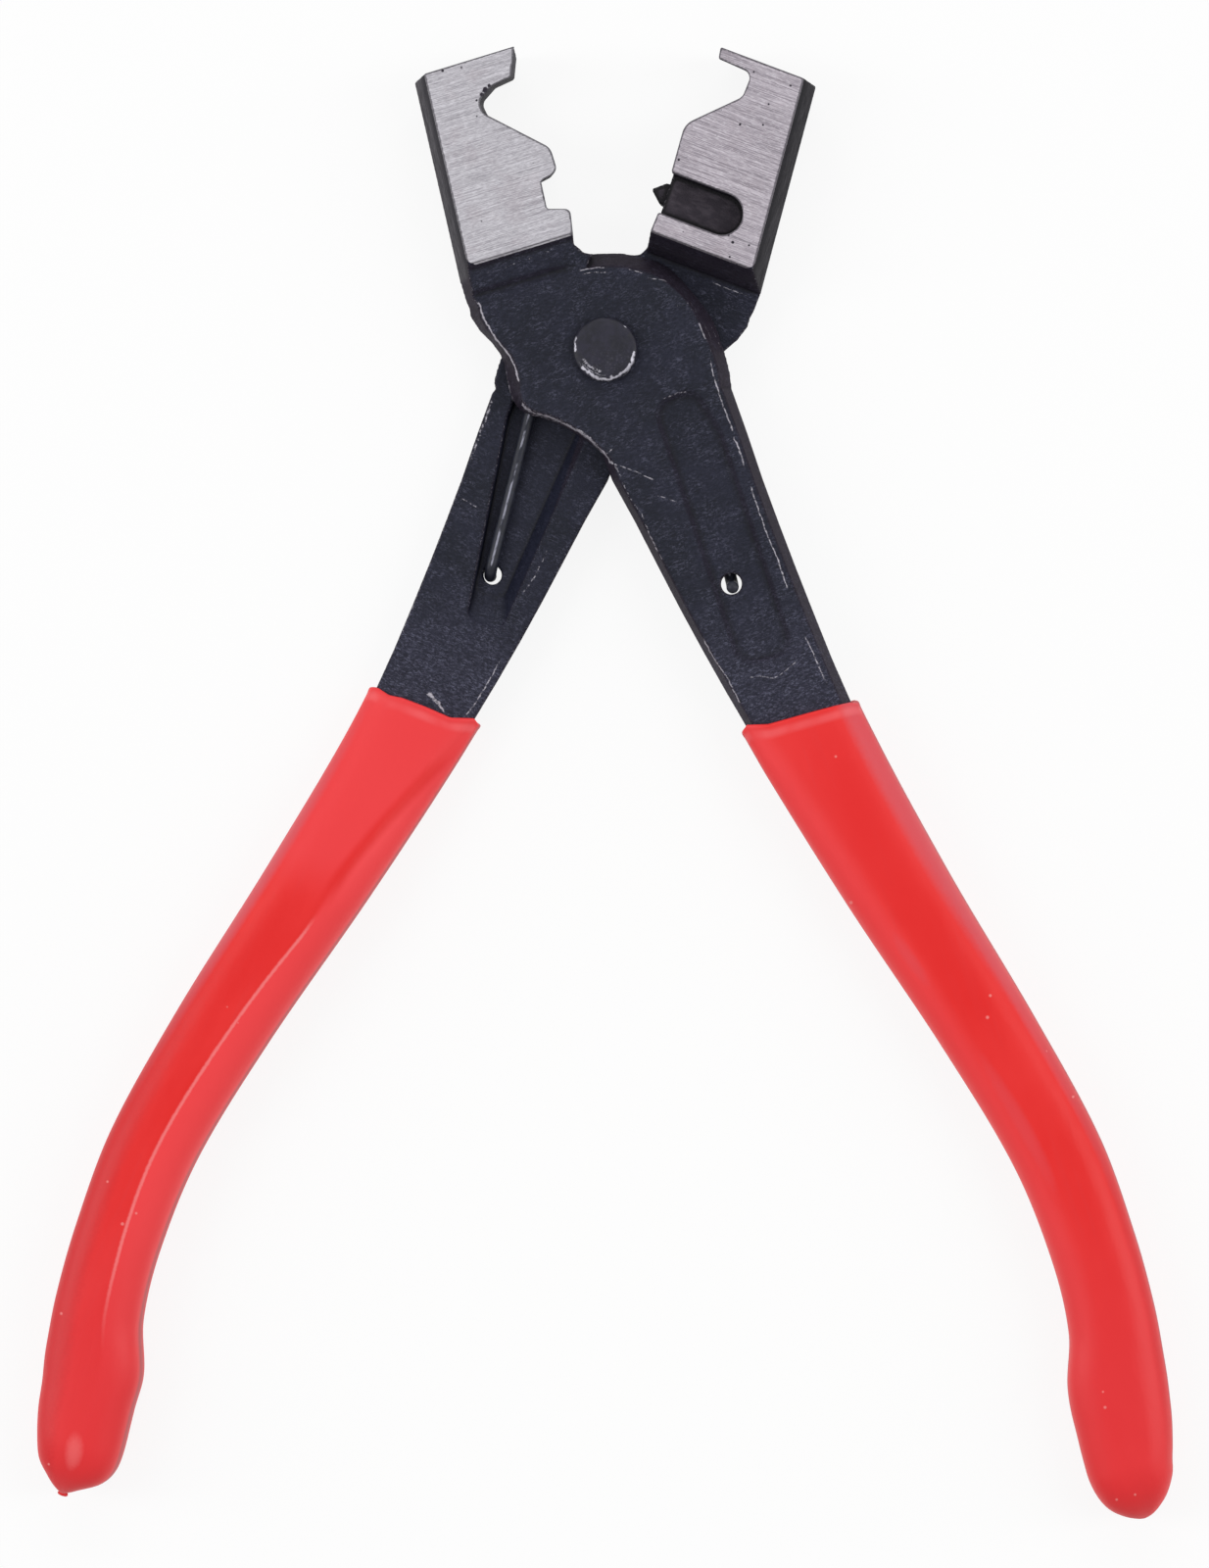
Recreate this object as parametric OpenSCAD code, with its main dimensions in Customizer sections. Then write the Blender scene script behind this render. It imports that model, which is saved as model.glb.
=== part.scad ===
// Hose clamp pliers: two forged lap-joint levers on a peened rivet, held open by a torsion
// spring coiled round the rivet, with dipped plastic grips on the handles.
// The pliers lie flat: +Z out of the front face, +Y from the pivot to the jaws.
// The origin is on the pivot axis, in the plane on which the pliers rest.

/* [Jaws] */
// Thickness of the jaws over their ground faces
jaw_thickness = 12; // [10:0.5:15]
// Reach of the front jaw from the pivot to its tip
front_jaw_reach = 43.4; // [42.5:0.1:46]
// Reach of the back jaw from the pivot to its tip
back_jaw_reach = 44.2; // [43.5:0.1:47]
// Width of the front jaw's blank at its tip
front_jaw_top_w = 15.1; // [13:0.1:16]
// Width of the back jaw's blank at its tip
back_jaw_top_w = 13.8; // [13:0.1:16]
// Width of either jaw where it joins its plate
jaw_root_w = 16.9; // [16.2:0.1:18]
// How far the front jaw's outer side leans in from its middle line to its faces
front_jaw_draft = 2.1; // [1:0.1:3]
// How far the back jaw's outer side leans in from its middle line to its faces
back_jaw_draft = 1.5; // [1:0.1:3]
// Distance from the pivot to the ground face's lower edge, on the outer side
ground_face_low = 16.5; // [15.5:0.1:18]
// Distance from the pivot to the ground face's lower edge, on the lapped side
lap_face_low = 17.3; // [16:0.1:19]
// Height of the worn ridge below the ground face
ridge_drop = 0.8; // [0.3:0.1:1.4]
// Width of the slot that thins the back jaw
slot_w = 5.7; // [4.5:0.1:6]
// Length of that slot from the parting line to its round end
slot_length = 11.3; // [8:0.1:12.5]
// Depth of that slot, cut from both faces
slot_depth = 3; // [1.5:0.1:4]
// How far the pointed tooth stands out of the back jaw
tooth_reach = 2.2; // [1:0.1:2.4]
// Thickness of the tooth
tooth_t = 4; // [2:0.5:5]
// Depth of the front jaw's notch that takes the tooth
notch_depth = 2.1; // [1.9:0.1:3]
// Angle at which the hooks' undersides rise behind their front edges
hook_relief = 5; // [0:0.5:6]
// Angle at which the working edges fall back behind their front edges
side_relief = 1.5; // [0:0.5:3]
// Angle at which the front jaw's nose and notch fall back behind their front edges
nose_relief = 5.5; // [3:0.5:6]
// Depth of the crease between the front of each jaw and its plate
crease_depth = 0.4; // [0.1:0.05:0.6]

/* [Lap joint] */
// Thickness of each lever's plate at the pivot
plate_t = 4.3; // [3.8:0.1:4.8]
// Running gap between the two plates
joint_gap = 0.2; // [0.1:0.05:0.4]
// Radius of the plates where the other jaw swings past
plate_r = 13.7; // [13:0.1:13.9]
// Distance from the pivot to the foot of the step in each jaw
step_foot = 14.8; // [14.3:0.1:15]
// Diameter of the rivet's shank
rivet_d = 8; // [6:0.5:10]
// How much wider the rivet's heads are than its shank
rivet_flange = 1; // [0.6:0.1:2]
// Bevel round the rivet's heads
rivet_bevel = 0.5; // [0.2:0.1:0.8]
// Radial clearance of the rivet in its bores
rivet_clearance = 0.05; // [0.02:0.01:0.09]

/* [Handles] */
// Distance from the pivot to the end of each grip, along the handle's own line
handle_reach = 174.2; // [168:0.2:200]
// Thickness of the dipped grips
grip_wall = 1; // [0.8:0.1:1.5]
// Distance from the pivot to the lip of the front lever's grip
front_grip_start = 56.3; // [52:0.1:62]
// Distance from the pivot to the lip of the back lever's grip
back_grip_start = 54.5; // [52:0.1:62]
// Distance from the pivot to where the levers start to thicken
lap_end = 52; // [51:0.5:58]
// Length over which each lever thickens to its full handle
joggle_length = 34; // [20:1:45]
// How far the back lever's neck is set in on its outer side
back_neck_outer_in = 1.25; // [0:0.05:1.5]
// How far the back lever's neck is let out on its inner side
back_neck_inner_out = 0.7; // [0:0.05:1.5]
// How far the back lever's plate is set in above its neck
back_plate_in = 2; // [0:0.1:2.4]
// Angle at which the forged sides lean in
forging_draft = 15; // [8:0.5:18]
// Radius of the forged edges on the lever necks
edge_r = 0.5; // [0.2:0.1:0.8]
// Radius of the handle bar's edges inside the grips
bar_edge_r = 1.6; // [1.2:0.1:2]
// Clearance between a grip and the bar in it
grip_fit = 0.05; // [0.02:0.01:0.1]

/* [Recesses] */
// Width of the shallow panel in each lever's outer face
panel_w = 8.3; // [6:0.1:9]
// Distance from the neck's outer side to the panel
panel_margin = 3.1; // [2.6:0.1:4]
// Distance from the pivot to the panel's upper end
panel_top = 8.4; // [8:0.1:12]
// Distance from the pivot to the panel's lower end
panel_low = 48; // [42:0.5:50]
// Depth of the panel
panel_depth = 0.7; // [0.4:0.1:1]
// Slope of the panel's sides, as width to depth
panel_slope = 1.2; // [0.5:0.1:2]
// Distance from the spring's hole to the trough's outer side
trough_room = 2.1; // [1.8:0.1:2.6]
// Width of the trough's floor at the spring's hole
trough_low_w = 4.8; // [4:0.1:5.5]
// How far the trough's floor runs past the spring's hole
trough_end = 2.8; // [1.8:0.1:4]
// Width of the trough's sloping inner side
trough_side_w = 1.9; // [0.4:0.1:2.2]
// Length of the ramp at the trough's lower end
trough_ramp = 4.4; // [1:0.1:5]
// Depth of the trough
trough_depth = 2.15; // [2.1:0.05:2.2]

/* [Spring] */
// Diameter of the spring's wire
wire_d = 1.7; // [1:0.1:1.7]
// Mean diameter of the spring's coil
coil_d = 17; // [15.6:0.1:17.4]
// Rise of the coil in one turn
coil_pitch = 1.75; // [1.72:0.01:1.8]
// Room round the coil in its pockets
coil_room = 0.5; // [0.3:0.05:0.7]
// Depth of the coil's pocket in each plate
pocket_depth = 2.25; // [2.25:0.05:2.5]
// Diameter of the front lever's hole for the spring's end
front_hole_d = 2.9; // [2.5:0.1:3.2]
// Diameter of the back lever's hole for the spring's end
back_hole_d = 2.6; // [2.5:0.1:3.2]
// Gap between each end of the wire and the side of its hole that it leans on
pin_gap = 0.12; // [0.05:0.01:0.25]
// Radius at which the spring's ends bend into their holes
bend_r = 1.8; // [1.2:0.1:2.4]

/* [Open pose] */
// Angle of the front jaw's parting line from +Y, jaws open
front_jaw_angle = 16.5; // [14:0.5:20]
// Angle of the back jaw's parting line from +Y, jaws open
back_jaw_angle = 21; // [18:0.5:25]
// Angle between each jaw's parting line and the handles' middle line
jaw_lean = 1.93; // [0:0.01:3]

/* [Hidden] */

// Levels through the thickness; lap_stock is left behind the lap face, then cut away
mid_z = jaw_thickness / 2;
lap_z = mid_z + joint_gap / 2;
plate_z = lap_z + plate_t;
bar_top_z = jaw_thickness - grip_wall;
draft_slope = tan(forging_draft);
seat_gap = 0.05;
lap_stock = 0.4;
lap_run_out = 6;

// Each handle's spring hole as [across, along the handle, diameter], and the direction in
// which the wire leans in it
front_hole = [6.2, -35.95, front_hole_d];
back_hole = [5.33, -34.3, back_hole_d];
front_pin_lean = -90;
back_pin_lean = -37;

// Recess shapes
coil_r = coil_d / 2;
panel_corner_r = 2.4;
panel_bend = 7;
panel_bend_r = 6;
panel_shoulder = 1.6;
panel_skew = 0.7;
trough_top = [9.9, -3];
trough_outer = [10.3, -13];
trough_inner = [0.5, -coil_r];
trough_end_r = 1.5;

// Jaw shapes
crease_y = 12.3;
crease_w = 1.8;
crease_full_x = -4;
crease_end_x = 1;
crease_rise = 0.35;
root_end_y = 10.6;
root_fillet = [[0.1, 14.9, 0.4], [0.8, 13.5, 0.9], [2, 12.9, 0.3], [0.4, 11, 0], [0.4, 6, 0]];
nose_top = 36.5;
ridge_run = 0.8;
ridge_w = 0.85;
wear_drop = 0.05;
slot_y = 22.95;
tooth_half = 1.5;
tooth_neck = 0.5;
tooth_root = 1;
blank_side = 3;
root_taper = 0.25;
min_rise = 0.3;
far = 30;
past = 3;
thin = 0.01;
fillet_steps = 5;

// How far a lever's neck is set in on its outer side and let out on its inner side, and its
// plate set in above the neck
FRONT_NECK = [0, 0, 0];
BACK_NECK = [back_neck_outer_in, back_neck_inner_out, back_plate_in];

// Plate outline as [angle, radius, lean of its edge], round from the handle's outer side
PLATE_ROUND = [
    [-36, 18.2, 1.5], [-14, 15.9, 1.6], [0, 15.2, 1.8], [12, 14.5, 1.4],
    [24, 14.2, 1.5], [40, 14.3, 2.1], [55, plate_r + 0.2, 2.3], [70, plate_r, 2.3],
    [86, plate_r, 2.3], [100, 15.2, 2], [125, 18, 2], [144, 20.6, 2.2],
    [153, 18.4, 1.7], [158, 16.4, 1.4], [166, 14.75, 1.7], [175, 14.45, 2],
    [183, 14.65, 2.1], [190, 14.85, 1.7], [196, 14.6, 1.1], [203, 13.8, 0.7],
    [211, 12.6, 0.6], [224, 12, 0.6], [240, 12.6, 0.6], [251, 14.2, 0.6],
    [259, 16.4, 0.7], [290, 16.5, 1], [324, 18.2, 1.5]
];
plate_step = 5;
plate_edge = 0.35;
edge_lean = 0.9;
face_lean = 1.08;
round_start = -36;
set_in_angle = -20;
set_in_spread = 50;

// Front handle bar's edges as [distance from the pivot, outer edge, inner edge]
BAR_EDGES = [
    [8, 13.6, -5], [10.5, 14.6, -5.2], [14, 14.75, -5.5], [22, 14.7, -4.1], [40, 15.4, -1.2],
    [58, 16.75, 2.4], [82, 20.75, 8.05], [106, 25.9, 14.6], [124, 29.05, 18.6],
    [138, 29.4, 19.45], [148, 28.85, 18.5], [155, 27.9, 16], [162, 26.75, 15],
    [168, 25.4, 14.9]
];
bar_start = 8;
bar_full = 10.5;
bend_start = 58;
set_in_start = 38;
set_in_fade = 72;
drawn_reach = 174.2;
tip_across = 20.4;
end_round = 8;
bar_end_gap = 1.2;
end_flat = 0.004;
grip_squareness = 3;
corner_steps = 4;
neck_steps = 7;
bar_steps = 17;
bar_round_steps = 4;
grip_steps = 26;
grip_round_steps = 6;
wire_sides = 10;

// Smooth value of column k in a table, read at t
function slope(tab, i, k) =
    let (a = max(i - 1, 0), b = min(i + 1, len(tab) - 1))
    (tab[b][k] - tab[a][k]) / (tab[b][0] - tab[a][0]);
function span_of(tab, t) =
    max([0, for (j = [0 : len(tab) - 2]) if (tab[j][0] <= t) j]);
function smooth(tab, t, k) =
    let (
        i = span_of(tab, t),
        h = tab[i + 1][0] - tab[i][0],
        u = (t - tab[i][0]) / h,
        a = tab[i][k],
        b = tab[i + 1][k],
        m = slope(tab, i, k) * h,
        n = slope(tab, i + 1, k) * h
    )
    a * (2 * u * u * u - 3 * u * u + 1) + m * (u * u * u - 2 * u * u + u)
    + b * (3 * u * u - 2 * u * u * u) + n * (u * u * u - u * u);

function clamp(v, low, high) = min(max(v, low), high);
function mix(a, b, u) = a + (b - a) * u;
function ease(u) = let (c = clamp(u, 0, 1)) c * c * (3 - 2 * c);
function unit(v) = v / norm(v);
function turn(p, angle) =
    [p.x * cos(angle) - p.y * sin(angle), p.x * sin(angle) + p.y * cos(angle)];
function sorted(v) =
    len(v) < 2 ? v :
    let (pivot = v[0])
    concat(
        sorted([for (x = v) if (x < pivot) x]),
        [pivot],
        sorted([for (x = v) if (x > pivot) x])
    );

function reversed(v) = [for (i = [len(v) - 1 : -1 : 0]) v[i]];

// Outline through corners [x, y, radius], each corner rounded by an arc
function corner_arc(a, b, c, steps) =
    let (
        p = [b.x, b.y],
        u = unit([a.x, a.y] - p),
        v = unit([c.x, c.y] - p),
        half = acos(clamp(u * v, -1, 1)) / 2,
        away = min(
            b.z / tan(half),
            norm([a.x, a.y] - p) * 0.49,
            norm([c.x, c.y] - p) * 0.49
        ),
        r = away * tan(half),
        centre = p + unit(u + v) * r / sin(half),
        from = p + u * away - centre,
        to = p + v * away - centre,
        start = atan2(from.y, from.x),
        sweep = atan2(from.x * to.y - from.y * to.x, from * to)
    )
    b.z == 0 ? [p] : [
        for (i = [0 : steps])
            let (angle = start + sweep * i / steps)
            centre + r * [cos(angle), sin(angle)]
    ];
function rounded(corners, steps = fillet_steps) =
    let (n = len(corners))
    [
        for (i = [0 : n - 1])
            each corner_arc(corners[(i + n - 1) % n], corners[i], corners[(i + 1) % n], steps)
    ];

// Solid through rings of equally many points, closed by a flat fan at both ends
module loft(rings) {
    n = len(rings[0]);
    last = len(rings) - 1;
    polyhedron(
        points = [for (ring = rings) each ring],
        faces = [
            [for (j = [0 : n - 1]) j],
            for (i = [0 : last - 1], j = [0 : n - 1])
                let (a = i * n + j, b = i * n + (j + 1) % n)
                each [[a, a + n, b], [b, a + n, b + n]],
            [for (j = [0 : n - 1]) last * n + n - 1 - j]
        ]
    );
}

// Both levers share one blank: plate in the front half, jaw on the left, handle on the right.
// The back lever is the same blank turned over.
module place_front() {
    rotate(front_jaw_angle)
        children();
}
module place_back() {
    rotate(-back_jaw_angle)
        translate([0, 0, jaw_thickness])
            rotate([0, 180, 0])
                children();
}

// Jaw blank with drafted outer side, lofted down to the plate; the lap is cut later
function jaw_top_z(y) = lookup(y, [
    [crease_y, plate_z],
    [ground_face_low - ridge_run - ridge_w, jaw_thickness - ridge_drop - wear_drop],
    [ground_face_low - ridge_run, jaw_thickness - ridge_drop],
    [ground_face_low, jaw_thickness]
]);
function jaw_side_x(y, reach, top_w) = -lookup(y, [
    [root_end_y, jaw_root_w - root_taper],
    [crease_y, jaw_root_w],
    [step_foot, jaw_root_w],
    [reach, top_w]
]);
function jaw_section(y, reach, top_w, draft) =
    let (
        top = jaw_top_z(y),
        part = min(mid_z, top - min_rise),
        side = jaw_side_x(y, reach, top_w),
        lean = draft / mid_z
    )
    [
        [blank_side, y, 0],
        [blank_side, y, top],
        [side + lean * (top - part), y, top],
        [side, y, part],
        [side + lean * part, y, 0]
    ];
module jaw_blank(reach, top_w, draft) {
    levels = sorted([
        root_end_y, crease_y, step_foot, ground_face_low - ridge_run - ridge_w,
        ground_face_low - ridge_run, ground_face_low, reach
    ]);
    loft([for (y = reversed(levels)) jaw_section(y, reach, top_w, draft)]);
}

// Working edge of the front jaw: hooked tip, hollow, bearing nose and notch
function front_profile() = rounded([
    [-far, front_jaw_reach + past, 0],
    [1.19, front_jaw_reach + past, 0],
    [-1.75, front_jaw_reach - 4.1, 0.5],
    [-4.6, front_jaw_reach - 4.5, 0.9],
    [-7, front_jaw_reach - 6, 1.1],
    [-6.7, front_jaw_reach - 7.8, 0.7],
    [0.72, 28.5, 2],
    [0.75, 25, 1.2],
    [-notch_depth + 0.3, 24.5, 0.4],
    [-notch_depth, 20.6, 0.4],
    [0.95, 19.7, 0.8],
    each root_fillet,
    [-far, 6, 0]
]);

// Working edge of the back jaw: hooked tip, hollow and straight bearing edge
function back_profile() = rounded([
    [-far, back_jaw_reach + past, 0],
    [0.53, back_jaw_reach + past, 0],
    [-0.4, back_jaw_reach - 1.8, 0.3],
    [-5.4, back_jaw_reach - 2.1, 1.1],
    [-5.35, back_jaw_reach - 5.5, 1.5],
    [0.75, 32.5, 2.6],
    [0.1, 25.6, 0.6],
    [-0.2, 20, 0.6],
    [-0.1, 17, 0.6],
    each root_fillet,
    [-far, 6, 0]
]);

// Working edge cut through a jaw, its walls falling back from the front face at front_z
module edge_cut(profile, front_z, way, relief) {
    translate([0, 0, front_z])
        rotate([way * hook_relief, way * relief, 0])
            translate([0, 0, -jaw_thickness - past])
                linear_extrude(2 * (jaw_thickness + past))
                    polygon(profile);
}

// The front jaw's nose and notch fall back further than its hooked tip
module front_edge() {
    difference() {
        edge_cut(front_profile(), jaw_thickness, 1, side_relief);
        difference() {
            translate([-far, step_foot, -past])
                cube([2 * far, nose_top - step_foot, jaw_thickness + 2 * past]);
            edge_cut(front_profile(), jaw_thickness, 1, nose_relief);
        }
    }
}

// Crease across the front of the blank, between jaw and plate, running out on the plate
function crease_ring(x, depth) = [
    [x, crease_y - crease_w, plate_z + crease_depth],
    [x, crease_y, plate_z - depth],
    [x, crease_y + crease_w, plate_z + crease_depth + 2 * crease_rise]
];
module crease_cut() {
    loft([
        crease_ring(-far, crease_depth),
        crease_ring(crease_full_x, crease_depth),
        crease_ring(crease_end_x, -crease_depth / 4)
    ]);
}

// Slot cut into both faces of the back jaw, open at the parting line
module jaw_slot() {
    end_x = -slot_length + slot_w / 2;
    for (z = [-1, jaw_thickness - slot_depth])
        translate([0, 0, z])
            linear_extrude(slot_depth + 1) {
                translate([end_x, slot_y])
                    circle(d = slot_w, $fn = 48);
                translate([end_x, slot_y - slot_w / 2])
                    square([far, slot_w]);
            }
}

// Pointed tooth at half thickness in the slot's mouth
module jaw_tooth() {
    translate([0, 0, mid_z - tooth_t / 2])
        linear_extrude(tooth_t)
            polygon([
                [-tooth_root, slot_y + tooth_half],
                [tooth_neck, slot_y + tooth_half],
                [tooth_reach, slot_y],
                [tooth_neck, slot_y - tooth_half],
                [-tooth_root, slot_y - tooth_half]
            ]);
}

// Forged plate round the pivot, its edge leaning in towards its face
function plate_set_in(angle) =
    cos(90 * clamp(((angle > 180 ? angle - 360 : angle) - set_in_angle) / set_in_spread, -1, 1));
function plate_point(angle, z, inset, neck) =
    let (
        r = smooth(PLATE_ROUND, angle, 1) - inset * smooth(PLATE_ROUND, angle, 2)
            - neck[2] * plate_set_in(angle)
    )
    [r * cos(angle), r * sin(angle), z];
module plate(neck) {
    angles = [round_start : plate_step : round_start + 360 - plate_step];
    low_lean = -edge_lean * lap_stock / (plate_t - plate_edge);
    ring_low = [for (a = angles) plate_point(a, lap_z - lap_stock, low_lean, neck)];
    ring_edge = [for (a = angles) plate_point(a, plate_z - plate_edge, edge_lean, neck)];
    ring_face = [for (a = angles) plate_point(a, plate_z, face_lean, neck)];
    n = len(ring_low);
    polyhedron(
        points = concat(ring_low, ring_edge, ring_face, [[0, 0, lap_z - lap_stock], [0, 0, plate_z]]),
        faces = [
            for (j = [0 : n - 1]) [3 * n, j, (j + 1) % n],
            for (i = [0, 1], j = [0 : n - 1])
                let (a = i * n + j, b = i * n + (j + 1) % n)
                each [[a, a + n, b], [b, a + n, b + n]],
            for (j = [0 : n - 1]) [3 * n + 1, 2 * n + (j + 1) % n, 2 * n + j]
        ]
    );
}

// Handle bar: its edges follow the table, stretched below bend_start to the chosen reach
function drawn(d) =
    d <= bend_start ? d :
    bend_start + (d - bend_start) * (drawn_reach - bend_start) / (handle_reach - bend_start);
function neck_part(d) = 1 - ease((d - set_in_start) / set_in_fade);
function bar_outer(d, neck) = smooth(BAR_EDGES, drawn(d), 1) - neck[0] * neck_part(d);
function bar_inner(d, neck) = smooth(BAR_EDGES, drawn(d), 2) - neck[1] * neck_part(d);
function thicken(d) = ease((d - lap_end) / joggle_length);
function bar_top(d) = mix(plate_z, bar_top_z, thicken(d));
function bar_low(d) = mix(lap_z - lap_stock, grip_wall, thicken(d));
function bar_corner(d) = mix(edge_r, bar_edge_r, thicken(d));

// Shrink of the rounded end that reaches to stop, and its drift towards the tip
function end_part(d, stop) = clamp((d - stop + end_round) / end_round, 0, 1);
function end_scale(d, stop) = sqrt(max(1 - pow(end_part(d, stop), 2), end_flat));

function quarter(cx, cz, r, from) = [
    for (i = [0 : corner_steps])
        let (angle = from + 90 * i / corner_steps)
        [cx + r * cos(angle), cz + r * sin(angle)]
];

// Cross-section of the bar: drafted sides that meet at the parting level, rounded edges
function bar_section(d, grow, neck) =
    let (
        top = bar_top(d) + grow,
        low = bar_low(d) - grow,
        r = bar_corner(d) + grow,
        outer = bar_outer(d, neck) + grow,
        inner = bar_inner(d, neck) - grow,
        part = clamp(mid_z, low + r + 0.1, top - r - 0.1),
        in_top = draft_slope * (top - r - part),
        in_low = draft_slope * (part - low - r),
        centre = (outer + inner) / 2
    )
    concat(
        [[outer, part]],
        quarter(outer - in_top - r, top - r, r, 0),
        [[centre, top]],
        quarter(inner + in_top + r, top - r, r, 90),
        [[inner, part]],
        quarter(inner + in_low + r, low + r, r, 180),
        [[centre, low]],
        quarter(outer - in_low - r, low + r, r, 270)
    );

// Cross-section of the grip: a soft rounded bar of the same number of points
function soft_power(v) = sign(v) * pow(abs(v), 2 / grip_squareness);
function grip_section(d, neck) =
    let (
        top = bar_top(d) + grip_wall,
        low = bar_low(d) - grip_wall,
        outer = bar_outer(d, neck) + grip_wall,
        inner = bar_inner(d, neck) - grip_wall,
        n = len(bar_section(d, 0, neck))
    )
    [
        for (i = [0 : n - 1])
            let (angle = 360 * i / n)
            [
                (outer + inner) / 2 + (outer - inner) / 2 * soft_power(cos(angle)),
                (top + low) / 2 + (top - low) / 2 * soft_power(sin(angle))
            ]
    ];

// Ring of a section at distance d, shrunk towards the tip where the end is rounded
function end_ring(section, d, stop) =
    let (
        f = end_scale(d, stop),
        u = end_part(d, stop),
        was = (bar_outer(d, FRONT_NECK) + bar_inner(d, FRONT_NECK)) / 2,
        centre = mix(was, tip_across, u * u),
        level = (bar_top(d) + bar_low(d)) / 2
    )
    [for (p = section) [centre + (p.x - was) * f, -d, level + (p.y - level) * f]];

// Distances of the rings: wide steps along the handle, narrow ones round the end
function steps_to(start, stop, count, round_steps) =
    let (full = stop - end_round)
    concat(
        [for (i = [0 : count]) mix(start, full, i / count)],
        [for (i = [1 : round_steps]) full + end_round * sin(90 * i / round_steps)]
    );
function bar_stop() = handle_reach - grip_wall - bar_end_gap;

// The bar's rings, and those of the cavity round it, which lie at the same distances
function bar_rings(lip, neck) = [
    for (d = concat(
        [bar_start],
        [for (i = [0 : neck_steps - 1]) mix(bar_full, lip, i / neck_steps)],
        steps_to(lip, bar_stop(), bar_steps, bar_round_steps)
    ))
        end_ring(bar_section(d, 0, neck), d, bar_stop())
];
function cavity_rings(lip, neck) = [
    for (d = concat(steps_to(lip, bar_stop(), bar_steps, bar_round_steps), [bar_stop() + grip_fit]))
        end_ring(bar_section(d, grip_fit, neck), d, bar_stop() + grip_fit)
];

// Dipped grip: outer skin, rounded end, lip, and the cavity that the bar fills
module grip(start, neck) {
    outer_rings = [
        for (d = steps_to(start, handle_reach, grip_steps, grip_round_steps))
            end_ring(grip_section(d, neck), d, handle_reach)
    ];
    inner_rings = cavity_rings(start, neck);
    n = len(outer_rings[0]);
    outer_n = len(outer_rings);
    inner_n = len(inner_rings);
    lip = outer_n * n;
    polyhedron(
        points = [
            for (ring = outer_rings) each ring,
            for (ring = inner_rings) each ring
        ],
        faces = [
            for (i = [0 : outer_n - 2], j = [0 : n - 1])
                let (a = i * n + j, b = i * n + (j + 1) % n)
                each [[a, a + n, b], [b, a + n, b + n]],
            [for (j = [0 : n - 1]) (outer_n - 1) * n + n - 1 - j],
            for (i = [0 : inner_n - 2], j = [0 : n - 1])
                let (a = lip + i * n + j, b = lip + i * n + (j + 1) % n)
                each [[a, b, a + n], [b, b + n, a + n]],
            [for (j = [0 : n - 1]) lip + (inner_n - 1) * n + j],
            for (j = [0 : n - 1])
                let (k = (j + 1) % n)
                each [[j, k, lip + j], [k, lip + k, lip + j]]
        ]
    );
}

// Shallow panel in the outer face of the neck, with sloping sides
function panel_outline(grow, neck) =
    let (
        right = bar_outer((panel_top + panel_low) / 2, neck) - panel_margin + grow,
        left = right - panel_w - 2 * grow,
        top = -panel_top + grow,
        low = -panel_low - grow
    )
    rounded([
        [right - panel_shoulder, top, panel_corner_r],
        [right, top - panel_bend, panel_bend_r],
        [right, low, panel_corner_r],
        [left, low + panel_skew, panel_corner_r],
        [left, top - panel_skew, panel_corner_r]
    ]);
module panel_cut(neck) {
    side = panel_depth * panel_slope;
    hull() {
        translate([0, 0, plate_z - panel_depth])
            linear_extrude(thin)
                polygon(panel_outline(-side, neck));
        translate([0, 0, plate_z + 0.2])
            linear_extrude(thin)
                polygon(panel_outline(0.2 * panel_slope, neck));
    }
}

// Trough for the spring's leg, in a handle's own frame, its inner side moved in by side and
// its lower end moved down by ramp
function point_on(a, b, y) = mix(a.x, b.x, (y - a.y) / (b.y - a.y));
function trough_outline(hole, side, ramp) =
    let (
        low = hole.y - trough_end - ramp,
        outer = [hole.x + trough_room, hole.y],
        inner = [outer.x - trough_low_w, hole.y]
    )
    rounded([
        concat(trough_top, [0]),
        concat(trough_outer, [0]),
        [point_on(trough_outer, outer, low), low, trough_end_r],
        [point_on(trough_inner, inner, low) - side, low, trough_end_r],
        [trough_inner.x - side, trough_inner.y, 0]
    ]);
module trough_cut(hole) {
    deeper = 1 + lap_stock / trough_depth;
    hull() {
        translate([0, 0, lap_z + trough_depth - thin])
            linear_extrude(thin)
                polygon(trough_outline(hole, 0, 0));
        translate([0, 0, lap_z - lap_stock])
            linear_extrude(thin)
                polygon(trough_outline(hole, trough_side_w * deeper, trough_ramp * deeper));
    }
}

// Recess in the lapped side: a ring for the coil, opening into the trough for the leg
module spring_recess(hole, lean) {
    translate([0, 0, lap_z - past])
        linear_extrude(pocket_depth + past)
            difference() {
                circle(r = coil_r + wire_d / 2 + coil_room, $fn = 96);
                circle(r = coil_r - wire_d / 2 - coil_room, $fn = 96);
            }
    rotate(lean)
        trough_cut(hole);
}

// Everything behind the lap face, down the step at the jaw and out to the handle
module lap_cut() {
    step_run = (lap_face_low - step_foot) / lap_z;
    out_y = -lap_end - lap_run_out;
    rotate([90, 0, 90])
        translate([0, 0, -far])
            linear_extrude(2 * far)
                polygon([
                    [step_foot, lap_z],
                    [lap_face_low + step_run * past, -past],
                    [out_y, -past],
                    [out_y, lap_z - 2 * lap_stock],
                    [-lap_end, lap_z]
                ]);
}

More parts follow.
